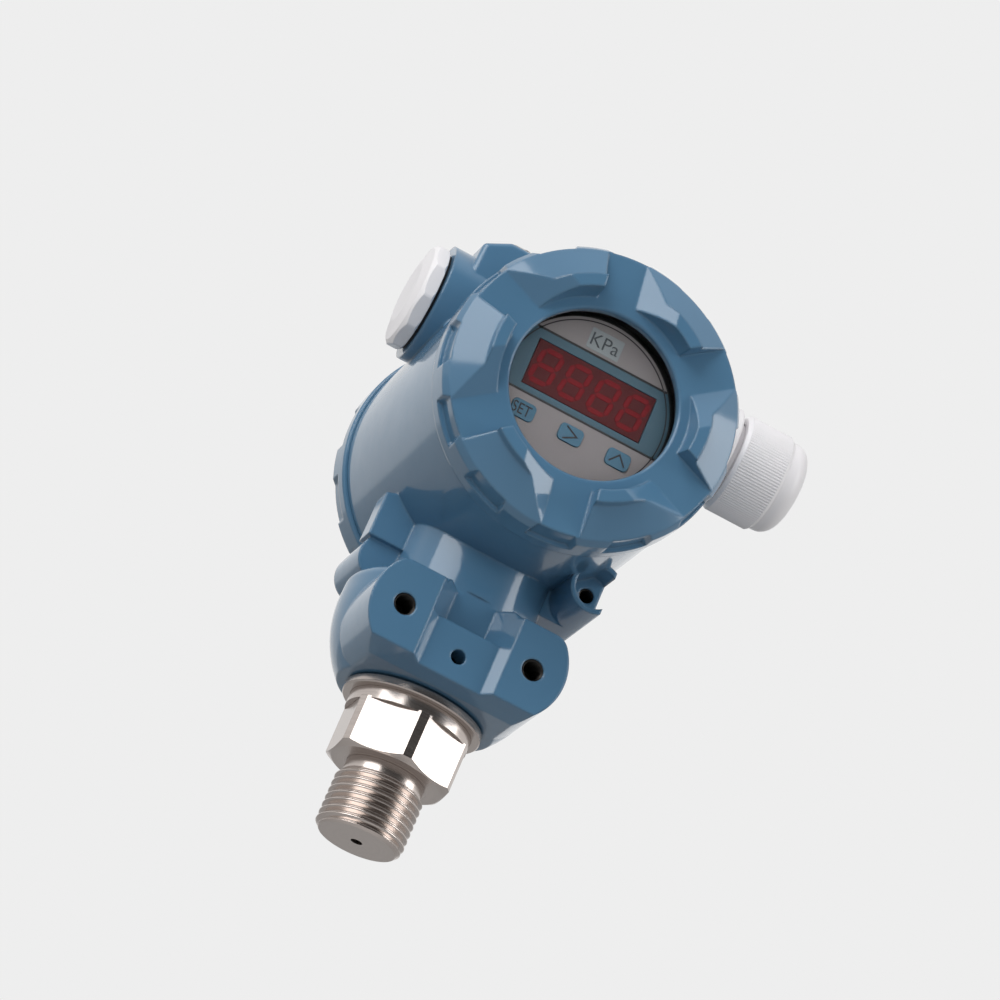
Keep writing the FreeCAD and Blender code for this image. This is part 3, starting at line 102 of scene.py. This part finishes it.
class Graph:
    """Short calls for the nodes of one material or world."""

    def __init__(self, tree):
        self.nodes = tree.nodes
        self.links = tree.links

    def new(self, kind, **values):
        node = self.nodes.new("ShaderNode" + kind)
        for key, value in values.items():
            if key in node.inputs:
                feed(node.inputs[key], value, self.links)
            else:
                setattr(node, key, value)
        return node

    def math(self, operation, *terms):
        node = self.new("Math", operation=operation)
        for socket, term in zip(node.inputs, terms):
            feed(socket, term, self.links)
        return node.outputs["Value"]

    def mix(self, factor, first, second):
        """The first colour where factor is 0 and the second where it is 1."""
        node = self.new("Mix", data_type="RGBA")
        for key, value in (("Factor", factor), ("A", first), ("B", second)):
            feed(node.inputs[key], value, self.links)
        return node.outputs["Result"]

    def spread(self, source, low, high, bottom, top):
        """The source, stretched from low..high to bottom..top and held at both ends."""
        node = self.new("MapRange")
        ends = (("From Min", low), ("From Max", high), ("To Min", bottom), ("To Max", top), ("Value", source))
        for key, value in ends:
            feed(node.inputs[key], value, self.links)
        return node.outputs["Result"]

    def split(self, vector):
        node = self.new("SeparateXYZ", Vector=vector)
        return [node.outputs[axis] for axis in "XYZ"]

    def seen(self, *kinds):
        """1 for the named kinds of ray and 0 for the others."""
        path = self.new("LightPath")
        total = path.outputs[kinds[0]]
        for kind in kinds[1:]:
            total = self.math("MAXIMUM", total, path.outputs[kind])
        return total


class Look(Graph):
    """A Principled material with the surface detail that these finishes need."""

    def __init__(self, name, colour, rough, **sockets):
        self.material = bpy.data.materials.new(name)
        self.material.use_nodes = True
        super().__init__(self.material.node_tree)
        self.shader = self.nodes["Principled BSDF"].inputs
        self.shader["Base Color"].default_value = colour
        self.shader["Roughness"].default_value = rough
        for key, value in sockets.items():
            self.shader[key.replace("_", " ")].default_value = value
        self.normal = None

    def place(self, scale=(1, 1, 1)):
        """Object coordinates, stretched by scale."""
        spot = self.new("TexCoord").outputs["Object"]
        return self.new("Mapping", Vector=spot, Scale=scale).outputs["Vector"]

    def noise(self, scale, detail=3.0, stretch=(1, 1, 1)):
        return self.new("TexNoise", Vector=self.place(stretch), Scale=scale, Detail=detail).outputs["Fac"]

    def ramp(self, source, stops):
        stops = list(stops)
        node = self.new("ValToRGB", Fac=source)
        while len(node.color_ramp.elements) < len(stops):
            node.color_ramp.elements.new(0.5)
        for element, (at, colour) in zip(node.color_ramp.elements, stops):
            element.position = at
            element.color = colour
        return node.outputs["Color"]

    def vary_colour(self, source, low, high):
        colours = self.ramp(source, zip(COLOUR_SPAN, (low, high)))
        feed(self.shader["Base Color"], colours, self.links)

    def vary_rough(self, source, low, high):
        feed(self.shader["Roughness"], self.spread(source, *ROUGH_SPAN, low, high), self.links)

    def tilt(self, node):
        """Takes the shading normal from a node, on top of what came before."""
        self.normal = node.outputs["Normal"]
        feed(self.shader["Normal"], self.normal, self.links)

    def soften(self, radius_mm):
        """Rounds the shading over sharp edges, as paint or a broken edge does."""
        self.tilt(self.new("Bevel", Radius=radius_mm * MM, samples=6))

    def bump(self, source, strength, depth_mm):
        node = self.new("Bump", Height=source, Strength=strength, Distance=depth_mm * MM)
        if self.normal is not None:
            feed(node.inputs["Normal"], self.normal, self.links)
        self.tilt(node)


# ---------------------------------------------------------------- materials
def painted(name):
    """Smooth gloss enamel: a faint orange peel under a clear coat."""
    look = Look(name, srgb(76, 116, 146), 0.42, Specular_IOR_Level=0.1, Coat_Weight=1.0, Coat_Roughness=0.09)
    look.soften(0.9)
    look.vary_colour(look.noise(30), srgb(74, 114, 144), srgb(79, 119, 149))
    look.vary_rough(look.noise(160), 0.38, 0.46)
    look.bump(look.noise(150, 2.0), 0.12, 0.05)
    feed(look.shader["Coat Normal"], look.normal, look.links)
    return look.material


def metal(name, colour, rough, streak=(1, 1, 60)):
    """Brushed or plated metal with fine marks; streak is how much each axis squeezes them."""
    look = Look(name, colour, rough, Metallic=1.0)
    look.soften(0.25)
    marks = look.noise(220, 4.0, streak)
    look.vary_rough(marks, rough * 0.75, rough * 1.35)
    look.bump(marks, 0.12, 0.02)
    return look.material


def turned(name, colour, rough):
    """Metal cut on a lathe about Z: fine marks that follow the radius and the height."""
    look = Look(name, colour, rough, Metallic=1.0)
    look.soften(0.2)
    x, y, z = look.split(look.place())
    flat = look.new("CombineXYZ", X=x, Y=y).outputs["Vector"]
    radius = look.new("VectorMath", operation="LENGTH")
    feed(radius.inputs[0], flat, look.links)
    path = look.new("CombineXYZ", X=radius.outputs["Value"], Z=z).outputs["Vector"]
    marks = look.new("TexNoise", Vector=path, Scale=1900, Detail=2.0).outputs["Fac"]
    worn = tuple(c * 0.88 for c in colour[:3]) + (1.0,)
    look.vary_colour(marks, worn, colour)
    look.vary_rough(marks, rough * 0.85, rough * 1.2)
    look.bump(marks, 0.3, 0.03)
    return look.material


def moulded(name, colour, rough, **sockets):
    """Plastic, rubber or print with a fine grain."""
    look = Look(name, colour, rough, **sockets)
    look.soften(0.3)
    look.vary_rough(look.noise(120), rough * 0.85, rough * 1.15)
    look.bump(look.noise(900, 2.0), 0.12, 0.02)
    return look.material


def film(name):
    """Face plate film: grey fields above and below a blue-grey band."""
    grey = srgb(118, 114, 115)
    blue = srgb(60, 84, 97)
    half_span = 20 * MM
    blend = 0.004
    look = Look(name, grey, 0.5, Specular_IOR_Level=0.3)
    height = look.spread(look.split(look.place())[2], AXIS_Z - half_span, AXIS_Z + half_span, 0, 1)
    low, high = ((line - AXIS_Z) / (2 * half_span) + 0.5 for line in (LINE_LOW, LINE_HIGH))
    fields = look.ramp(height, [
        (0.0, grey), (low - blend, grey), (low + blend, blue), (high - blend, blue), (high + blend, grey)])
    feed(look.shader["Base Color"], fields, look.links)
    look.bump(look.noise(1500, 2.0), 0.1, 0.01)
    return look.material


def clear(name):
    return Look(name, (1, 1, 1, 1), 0.02, Transmission_Weight=1.0, IOR=1.1).material


PAINT = painted("blue_enamel")
STEEL = turned("turned_stainless", srgb(200, 190, 184), 0.23)
BLACK_STEEL = metal("black_steel", srgb(30, 30, 32), 0.45)
# Bare casting of the tapped threads, made darker than its own colour to paint the shade inside the holes.
TAPPED_AND_SHADE = metal("tapped_casting_and_painted_shade", srgb(62, 60, 58), 0.4)
ZINC = metal("zinc_plate", srgb(190, 190, 185), 0.3)
PLATE = metal("brushed_plate", srgb(200, 200, 200), 0.45, streak=(4, 120, 4))
BRASS = metal("plain_brass", srgb(200, 170, 105), 0.3)
NYLON = moulded("white_nylon", srgb(232, 230, 232), 0.42)
RUBBER = moulded("black_rubber", srgb(22, 22, 24), 0.6)
BLACK = moulded("black_plastic", srgb(18, 18, 20), 0.5)
CHIP = moulded("chip_black", srgb(30, 30, 32), 0.5)
BOARD = moulded("green_board", srgb(24, 84, 52), 0.35)
LEAD = moulded("grey_lead", srgb(120, 120, 122), 0.5)
RED_WINDOW = moulded("red_window", srgb(70, 28, 30), 0.4, Specular_IOR_Level=0.15)
SEGMENT = moulded("red_segment", srgb(102, 20, 27), 0.5, Specular_IOR_Level=0.15)
KEY = moulded("key_film", srgb(62, 96, 116), 0.5, Specular_IOR_Level=0.3)
INK = moulded("black_ink", srgb(24, 24, 26), 0.5)
GREY_INK = moulded("grey_ink", srgb(54, 62, 66), 0.5)
PATCH = moulded("unit_patch", srgb(124, 131, 134), 0.5, Specular_IOR_Level=0.3)
FILM = film("face_film")
GLASS = clear("clear_glass")

FINISHES = {
    PAINT: ["housing", "front_cover", "rear_cover"],
    STEEL: ["process_fitting", "sensor_cell", "sensor_nut"],
    BLACK_STEEL: ["lock_screw"],
    ZINC: ["board_screws", "terminal_plates", "terminal_screws", "block_screws", "ground_screw"],
    PLATE: ["nameplate", "nameplate_rivets"],
    BRASS: ["rear_spacers", "front_spacers"],
    NYLON: ["gland_washer", "gland_body", "gland_slip_ring", "gland_nut", "blanking_plug"],
    RUBBER: [
        # The black nameplate_pad is painted shade: it draws the dark shadow line under the nameplate.
        "nameplate_pad", "window_gasket", "front_cover_seal", "rear_cover_seal",
        "fitting_seal", "sensor_seal", "gland_seal", "plug_seal"],
    BLACK: ["display_bezel", "terminal_block", "glass_ring"],
    CHIP: ["main_chips", "led_module", "key_switches"],
    BOARD: ["main_board", "display_board"],
    LEAD: ["sensor_lead"],
    RED_WINDOW: ["led_window"],
    KEY: ["key_set", "key_shift", "key_up"],
    FILM: ["display_faceplate"],
    GLASS: ["window_glass"],
}


SMOOTH_ANGLE = 28


def wear(obj, material):
    obj.data.materials.clear()
    obj.data.materials.append(material)


def smooth(mesh, angle=SMOOTH_ANGLE):
    """Smooth shading, sharp where faces meet at more than angle degrees."""
    mesh.polygons.foreach_set("use_smooth", [True] * len(mesh.polygons))
    mesh.set_sharp_from_angle(angle=math.radians(angle))


for finish, names in FINISHES.items():
    for name in names:
        wear(NODES[name], finish)
        smooth(NODES[name].data)


# ---------------------------------------------------------------- mesh helpers
def made(name, bm, material, body, angle=SMOOTH_ANGLE):
    """A piece of the scene from a finished bmesh, riding on a body."""
    mesh = bpy.data.meshes.new(name)
    bmesh.ops.recalc_face_normals(bm, faces=bm.faces)
    bm.to_mesh(mesh)
    bm.free()
    obj = bpy.data.objects.new(name, mesh)
    scene.collection.objects.link(obj)
    wear(obj, material)
    smooth(mesh, angle)
    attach(obj, body)
    return obj


def bridge(bm, a, b):
    """Quads between two closed loops of as many points."""
    for i in range(len(a)):
        j = (i + 1) % len(a)
        bm.faces.new((a[i], a[j], b[j], b[i]))


def grid(bm, rows):
    """Quads between rows of points; each row closes on itself."""
    loops = [[bm.verts.new(p) for p in row] for row in rows]
    for a, b in zip(loops, loops[1:]):
        bridge(bm, a, b)
    return loops


def ring_points(radius, along, count, shape, axis, origin=(0, 0, 0)):
    """Points of one lathe row about an axis; shape(angle), if any, is added to the radius."""
    points = []
    for i in range(count):
        angle = 2 * math.pi * i / count
        r = radius + (shape(angle) if shape else 0)
        u, v = r * math.cos(angle), r * math.sin(angle)
        point = {"x": (along, u, v), "y": (u, along, v), "z": (u, v, along)}[axis]
        points.append(Vector(point) + Vector(origin))
    return points


# ---------------------------------------------------------------- process thread
def threaded_fitting():
    """The CAD fitting with its plain thread cylinder cut into a real helical thread."""
    major = MOUNTS["process_thread"]["dims"]["r_mm"] * MM
    minor = 9.35 * MM
    pitch = 1.814 * MM
    end_r = 9.23 * MM
    chamfer = 1.25 * MM
    run_out = 13.2 * MM
    relief_z = 14.1 * MM
    relief_r = 9.4 * MM
    start_turn = 0.62
    root_share = 0.09
    flank_share = 0.8
    round_share = 0.35
    wall_r = 9.1 * MM
    slack = 0.02 * MM
    flat = 0.95
    count = 144
    steps = 200

    def on_wall(face):
        """True for the faces of the plain cylinder, its chamfer and its relief."""
        near = all(v.co.z < relief_z + slack and v.co.xy.length > wall_r for v in face.verts)
        return near and abs(face.normal.z) < flat

    def thread(z):
        """Radius of the thread at each angle of one height."""
        limit = min(major, end_r + z * (major - end_r) / chamfer)
        if z > run_out:
            limit = major + (relief_r - major) * (z - run_out) / (relief_z - run_out)

        def radius(angle):
            phase = (z / pitch - angle / (2 * math.pi) + start_turn) % 1
            flank = abs(phase - 0.5) * 2
            lift = min(1, max(0, (flank - root_share) / flank_share))
            lift = lift * lift * (3 - 2 * lift) * round_share + lift * (1 - round_share)
            return min(limit, minor + (major - minor) * lift)

        return radius

    bm = bmesh.new()
    bm.from_mesh(NODES["process_fitting"].data)
    bmesh.ops.delete(bm, geom=[face for face in bm.faces if on_wall(face)], context="FACES")
    rows = [ring_points(end_r, 0, count, None, "z")]
    for k in range(1, steps):
        z = relief_z * k / steps
        rows.append(ring_points(0, z, count, thread(z), "z"))
    rows.append(ring_points(relief_r, relief_z, count, None, "z"))
    grid(bm, rows)
    obj = made("process_fitting_threaded", bm, STEEL, "body", 35)
    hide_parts("process_fitting")


threaded_fitting()


# ---------------------------------------------------------------- tapped holes, darkened as painted shade
def tapped_hole_and_shade(name, mouth, radius, pitch):
    """Screw thread as a thin cup inside one plain CAD hole that runs back from its mouth; its dark colour and
    its closed dark bottom are painted shade.
    """
    x, start, z = mouth
    depth = 9 * MM
    lead_in = 0.5 * MM
    wall = radius - 0.01 * MM
    root = 0.05 * MM
    end_gap = 0.2 * MM
    back_gap = 0.05 * MM
    rise = 0.5 * pitch
    count = 40
    rows_a_turn = 8
    steps = round((depth - lead_in) / pitch * rows_a_turn)

    def row(y, shape):
        return ring_points(wall, y, count, shape, "y", (x, 0, z))

    def crest(y):
        """How far the thread stands in from the wall at each angle of one depth."""
        def drop(angle):
            phase = (y / pitch + angle / (2 * math.pi)) % 1
            return -root - rise * (1 - abs(2 * phase - 1))

        return drop

    rows = [row(start + lead_in, None)]
    for k in range(steps + 1):
        y = start + lead_in + (depth - lead_in - end_gap) * k / steps
        rows.append(row(y, crest(y)))
    rows.append(row(start + depth - back_gap, None))
    bm = bmesh.new()
    loops = grid(bm, rows)
    # Dark cap at the hole's end: painted shade over the hole's blue floor.
    bm.faces.new(loops[-2])
    made(name, bm, TAPPED_AND_SHADE, "body")


BOSS_HOLES = MOUNTS["front_bolt_holes"]
EARTH_HOLE = MOUNTS["earth_hole"]
for name, side in (("left_hole_thread_and_shade", -0.5), ("right_hole_thread_and_shade", 0.5)):
    aside = Vector((side * BOSS_HOLES["dims"]["spacing_x_mm"] * MM, 0, 0))
    hole_r = BOSS_HOLES["dims"]["hole_r_mm"] * MM
    tapped_hole_and_shade(name, Vector(BOSS_HOLES["pos_m"]) + aside, hole_r, 1.0 * MM)
tapped_hole_and_shade("earth_hole_thread_and_shade", EARTH_HOLE["pos_m"], EARTH_HOLE["dims"]["r_mm"] * MM, 0.7 * MM)


# ---------------------------------------------------------------- ribbed gland nut
def ribbed_nut():
    """The CAD nut with fine ribs along its side."""
    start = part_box("gland_nut")[0].x
    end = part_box("gland_nut")[1].x
    mid = centre("gland_nut")
    outer = 12.1 * MM
    bore = 9.6 * MM
    hole = 4.2 * MM
    nose = 6.0 * MM
    wall = 2.0 * MM
    bore_depth = 12.5 * MM
    foot_bevel = 0.9 * MM
    foot_drop = 0.1 * MM
    rib_foot = 1.2 * MM
    rib_depth = 0.26 * MM
    side_end = start + 11.4 * MM
    edge = 0.2 * MM
    edge_drop = 0.15 * MM
    dome_foot = 11.3 * MM
    dome_gap = 0.9 * MM
    dome_start = start + 13.4 * MM
    dome_steps = 12
    ribs = 105
    rib_power = 0.7
    points_a_rib = 8

    def rib(angle):
        wave = 0.5 + 0.5 * math.cos(angle * ribs)
        return -rib_depth * (1 - wave ** rib_power)

    path = [
        (bore, start, None),
        (outer - foot_drop - foot_bevel, start, None),
        (outer - foot_drop, start + foot_bevel, None),
        (outer, start + rib_foot, rib),
        (outer, side_end, rib),
        (outer - edge_drop, side_end + edge, None),
        (dome_foot, side_end + dome_gap, None),
    ]
    for k in range(dome_steps + 1):
        t = math.pi / 2 * k / dome_steps
        r = nose + (dome_foot - nose) * math.cos(t)
        path.append((r, dome_start + (end - dome_start) * math.sin(t), None))
    path += [
        (hole + edge, end, None),
        (hole, end - edge, None),
        (hole, end - wall, None),
        (nose, end - wall, None),
        (bore, start + bore_depth, None),
    ]
    count = ribs * points_a_rib
    rows = [ring_points(r, x, count, shape, "x", (0, mid.y, mid.z)) for r, x, shape in path]
    bm = bmesh.new()
    loops = grid(bm, rows)
    bridge(bm, loops[-1], loops[0])
    obj = made("gland_nut_ribbed", bm, NYLON, "gland_nut_turning", 40)
    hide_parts("gland_nut")


ribbed_nut()


# ---------------------------------------------------------------- display marks
def slab(bm, corners, front, depth):
    """Flat polygon in X-Z made thick towards the back."""
    top = [bm.verts.new((x, front, z)) for x, z in corners]
    back = [bm.verts.new((x, front + depth, z)) for x, z in corners]
    bm.faces.new(top)
    bm.faces.new(back[::-1])
    n = len(corners)
    for i in range(n):
        bm.faces.new((top[i], top[(i + 1) % n], back[(i + 1) % n], back[i]))


def digits():
    """Four digits, each of seven bars, on the front of the red window."""
    low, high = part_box("led_window")
    mid_z = (low.z + high.z) / 2
    pitch = 7.4 * MM
    w = 2.3 * MM
    h = 4.0 * MM
    half_bar = 0.625 * MM
    end_gap = 0.12 * MM
    depth = 0.03 * MM
    lean = math.tan(math.radians(8))
    spans = [
        (-w, h, w, h), (-w, 0, w, 0), (-w, -h, w, -h),
        (-w, 0, -w, h), (w, 0, w, h), (-w, -h, -w, 0), (w, -h, w, 0),
    ]

    def bar(x0, z0, x1, z1):
        """Hexagonal bar between two points of one digit."""
        along = Vector((x1 - x0, z1 - z0)).normalized()
        across = Vector((-along.y, along.x)) * half_bar
        a = Vector((x0, z0)) + along * end_gap
        b = Vector((x1, z1)) - along * end_gap
        inset = along * half_bar
        return [a, a + inset + across, b - inset + across, b, b - inset - across, a + inset - across]

    bm = bmesh.new()
    for k in range(4):
        x = (k - 1.5) * pitch
        for span in spans:
            corners = [(x + p.x + p.y * lean, mid_z + p.y) for p in bar(*span)]
            slab(bm, corners, low.y - depth, depth)
    made("digit_segments", bm, SEGMENT, "body")


def lines():
    """Two lines above and below the window and a thin circle near the rim."""
    front = FACE - INK_DEPTH
    reach_r = 20.3 * MM
    half = 0.28 * MM
    circle = (19.45 * MM, 19.75 * MM)
    bm = bmesh.new()
    for z in (LINE_LOW, LINE_HIGH):
        reach = math.sqrt(reach_r ** 2 - (z - AXIS_Z) ** 2)
        corners = [(-reach, z - half), (reach, z - half), (reach, z + half), (-reach, z + half)]
        slab(bm, corners, front, INK_DEPTH)
    section = [(circle[0], front), (circle[1], front), (circle[1], FACE), (circle[0], FACE)]
    loops = grid(bm, [ring_points(r, y, 128, None, "y", (0, 0, AXIS_Z)) for r, y in section])
    bridge(bm, loops[-1], loops[0])
    made("face_lines", bm, INK, "body")


def rounded(x, z, wide, tall, radius):
    """Corner points of a rectangle with round corners."""
    points = []
    for sx, sz, turn in ((1, 1, 0), (-1, 1, 90), (-1, -1, 180), (1, -1, 270)):
        for k in range(CORNER_STEPS + 1):
            a = math.radians(turn + 90 * k / CORNER_STEPS)
            points.append((x + sx * (wide / 2 - radius) + radius * math.cos(a),
                           z + sz * (tall / 2 - radius) + radius * math.sin(a)))
    return points


def patch():
    """Pale field behind the unit."""
    bm = bmesh.new()
    slab(bm, rounded(UNIT_X, UNIT_Z, 8.2 * MM, 5.2 * MM, 0.4 * MM), FACE - INK_DEPTH, INK_DEPTH)
    made("unit_patch", bm, PATCH, "body")


def soft_key(node, body):
    """The CAD key with its corners rounded, on its own stem."""
    low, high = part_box(node)
    mid = centre(node)
    pad = 1.5 * MM
    stem = 2.4 * MM
    stem_round = 1.19 * MM
    bm = bmesh.new()
    slab(bm, rounded(mid.x, mid.z, *KEY_SIZE, KEY_ROUND), low.y, pad)
    slab(bm, rounded(mid.x, mid.z, stem, stem, stem_round), low.y + pad, high.y - low.y - pad)
    piece = made(node + "_pad", bm, KEY, body)
    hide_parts(node)


def key_frame(node):
    """Film round one key, so that only a hairline shows beside it."""
    mid = centre(node)
    wide, tall = KEY_SIZE
    gap = 0.1 * MM
    rim = 1.4 * MM
    inner = rounded(mid.x, mid.z, wide + gap, tall + gap, KEY_ROUND + gap / 2)
    outer = rounded(mid.x, mid.z, wide + rim, tall + rim, KEY_ROUND)
    front = FACE - INK_DEPTH
    back = FACE + 0.3 * MM
    section = [(outer, FACE), (outer, front), (inner, front), (inner, back)]
    bm = bmesh.new()
    grid(bm, [[(x, y, z) for x, z in loop] for loop, y in section])
    made(node + "_frame", bm, FILM, "body")


def chevron(name, node, turn, arm, half_angle, body):
    """Printed arrow head of two strokes on a key, with its point at turn degrees from +X."""
    mid = centre(node)
    half_stroke = 0.21 * MM
    a = math.radians(half_angle)
    t = math.radians(turn)
    rise = arm * math.sin(a)
    tip = arm * math.cos(a) / 2
    tip_out = half_stroke / math.sin(a)
    side = half_stroke * math.sin(a)
    lift = half_stroke * math.cos(a)
    outline = [
        (tip + tip_out, 0),
        (side - tip, rise + lift),
        (-side - tip, rise - lift),
        (tip - tip_out, 0),
        (-side - tip, lift - rise),
        (side - tip, -rise - lift),
    ]
    corners = [
        (mid.x + x * math.cos(t) - z * math.sin(t), mid.z + x * math.sin(t) + z * math.cos(t))
        for x, z in outline
    ]
    bm = bmesh.new()
    slab(bm, corners, KEY_TOP, INK_DEPTH)
    made(name, bm, INK, body)


def words(name, text, x, z, front, size, body, ink, swell, narrow=1.0):
    """Printed mark, thickened by swell of its size and centred on its own outline."""
    curve = bpy.data.curves.new(name, "FONT")
    curve.body = text
    curve.size = size
    curve.align_x = "CENTER"
    curve.align_y = "CENTER"
    curve.extrude = INK_DEPTH / 2
    curve.offset = swell * size
    obj = bpy.data.objects.new(name + "_outline", curve)
    scene.collection.objects.link(obj)
    upright = Matrix.Rotation(math.pi / 2, 4, "X") @ Matrix.Diagonal((narrow, 1, 1, 1))
    obj.matrix_world = Matrix.Translation((x, front, z)) @ upright
    bpy.context.view_layer.update()
    shaped = obj.evaluated_get(bpy.context.evaluated_depsgraph_get())
    mesh = bpy.data.meshes.new_from_object(shaped)
    corners = [Vector(corner) for corner in obj.bound_box]
    middle = (min(c.x for c in corners) + max(c.x for c in corners)) / 2
    level = (min(c.y for c in corners) + max(c.y for c in corners)) / 2
    mesh.transform(obj.matrix_world @ Matrix.Translation((-middle, -level, 0)))
    bpy.data.objects.remove(obj)
    piece = bpy.data.objects.new(name, mesh)
    scene.collection.objects.link(piece)
    wear(piece, ink)
    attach(piece, body)


digits()
lines()
patch()
words("unit_mark", "KPa", UNIT_X, UNIT_Z, FACE - 2 * INK_DEPTH, 4.6 * MM, "body", GREY_INK, -0.002)
for key, body in (("key_set", "set_key"), ("key_shift", "shift_key"), ("key_up", "up_key")):
    soft_key(key, body)
    key_frame(key)
KEY_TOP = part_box("key_set")[0].y - INK_DEPTH
SET_KEY = centre("key_set")
words("set_mark", "SET", SET_KEY.x - 0.4 * MM, SET_KEY.z, KEY_TOP, 3.8 * MM, "set_key", INK, 0.006, 0.8)
chevron("shift_mark", "key_shift", 0, 3.4 * MM, 28, "shift_key")
chevron("up_mark", "key_up", 90, 3.05 * MM, 40, "up_key")


# ---------------------------------------------------------------- camera
def camera():
    """A long lens below and left of the front, rolled clockwise."""
    az, el, roll = (math.radians(angle) for angle in (-10.359, -22.521, 23.673))
    target = Vector((0, 0, 0.08572))
    distance = 1.15876
    slide = -0.0055
    lift = 0.00407
    out = Vector((math.sin(az) * math.cos(el), -math.cos(az) * math.cos(el), math.sin(el)))
    right = (-out).cross(Vector((0, 0, 1))).normalized()
    up = right.cross(-out)
    side = math.cos(roll) * right + math.sin(roll) * up
    top = -math.sin(roll) * right + math.cos(roll) * up
    data = bpy.data.cameras.new("camera")
    data.sensor_width = 36
    data.lens = 5.05793 * data.sensor_width
    data.shift_x = 0.02545
    data.shift_y = -0.00221
    data.clip_start = 0.05
    data.clip_end = 20
    obj = bpy.data.objects.new("camera", data)
    turn = Matrix((side, top, out)).transposed().to_4x4()
    obj.matrix_world = Matrix.Translation(target + out * distance + side * slide + top * lift) @ turn
    scene.collection.objects.link(obj)
    scene.camera = obj


camera()


# ---------------------------------------------------------------- floor, world and lamps
def floor():
    """Pale floor far below; it glows to the camera and glass, less to gloss, and its shadow stays."""
    mesh = bpy.data.meshes.new("floor")
    bm = bmesh.new()
    bmesh.ops.create_grid(bm, x_segments=1, y_segments=1, size=40)
    bm.to_mesh(mesh)
    bm.free()
    obj = bpy.data.objects.new("floor", mesh)
    obj.location = (0, 0, -1.5)
    scene.collection.objects.link(obj)
    look = Look("floor", srgb(215, 215, 215), 0.9, Emission_Color=srgb(238, 238, 238))
    glow = look.math("MULTIPLY", look.seen("Is Camera Ray", "Is Transmission Ray"), 0.66)
    glow = look.math("MULTIPLY_ADD", look.seen("Is Glossy Ray"), 0.2, glow)
    feed(look.shader["Emission Strength"], glow, look.links)
    wear(obj, look.material)


floor()


def world():
    """Pale to the camera; to gloss, pale behind and beside, darker below and round the camera's side."""
    gap_aim = (0.05, -0.93, 0.36)
    gap_edge = (0.62, 0.86)
    low_band = (-0.3, 0)
    pale = 0.86
    gap = 0.08
    low = 0.2
    ambient = 0.34
    scene.world = bpy.data.worlds.new("studio")
    scene.world.use_nodes = True
    sky = Graph(scene.world.node_tree)
    spot = sky.new("TexCoord").outputs["Generated"]
    aim = sky.new("VectorMath", operation="DOT_PRODUCT")
    feed(aim.inputs[0], spot, sky.links)
    feed(aim.inputs[1], gap_aim, sky.links)
    front = sky.spread(aim.outputs["Value"], *gap_edge, pale, gap)
    below = sky.spread(sky.split(spot)[2], *low_band, low, pale)
    least = sky.math("MINIMUM", front, below)
    shine = sky.mix(sky.seen("Is Glossy Ray"), (ambient, ambient, ambient, 1), least)
    shown = sky.mix(sky.seen("Is Camera Ray", "Is Transmission Ray"), shine, srgb(238, 238, 238))
    feed(sky.nodes["Background"].inputs["Color"], shown, sky.links)


world()


def lamp(name, place, size, power, glossy):
    """Rectangular area light aimed at the middle of the object."""
    target = Vector((0, 0, 0.09))
    data = bpy.data.lights.new(name, "AREA")
    data.shape = "RECTANGLE"
    data.size, data.size_y = size
    data.energy = power
    obj = bpy.data.objects.new(name, data)
    obj.location = place
    obj.rotation_euler = (target - Vector(place)).to_track_quat("-Z", "Y").to_euler()
    obj.visible_glossy = glossy
    scene.collection.objects.link(obj)


lamp("key", (-0.75, -0.52, 0.68), (0.9, 0.9), 10, glossy=True)
lamp("fill", (0.95, -0.42, 0.42), (0.5, 0.7), 4, glossy=True)
lamp("front", (-0.1, -1.2, -0.1), (0.8, 0.6), 3, glossy=False)
lamp("back", (0.3, 1.2, 0.5), (0.8, 0.6), 4, glossy=False)

scene.view_settings.view_transform = "Standard"
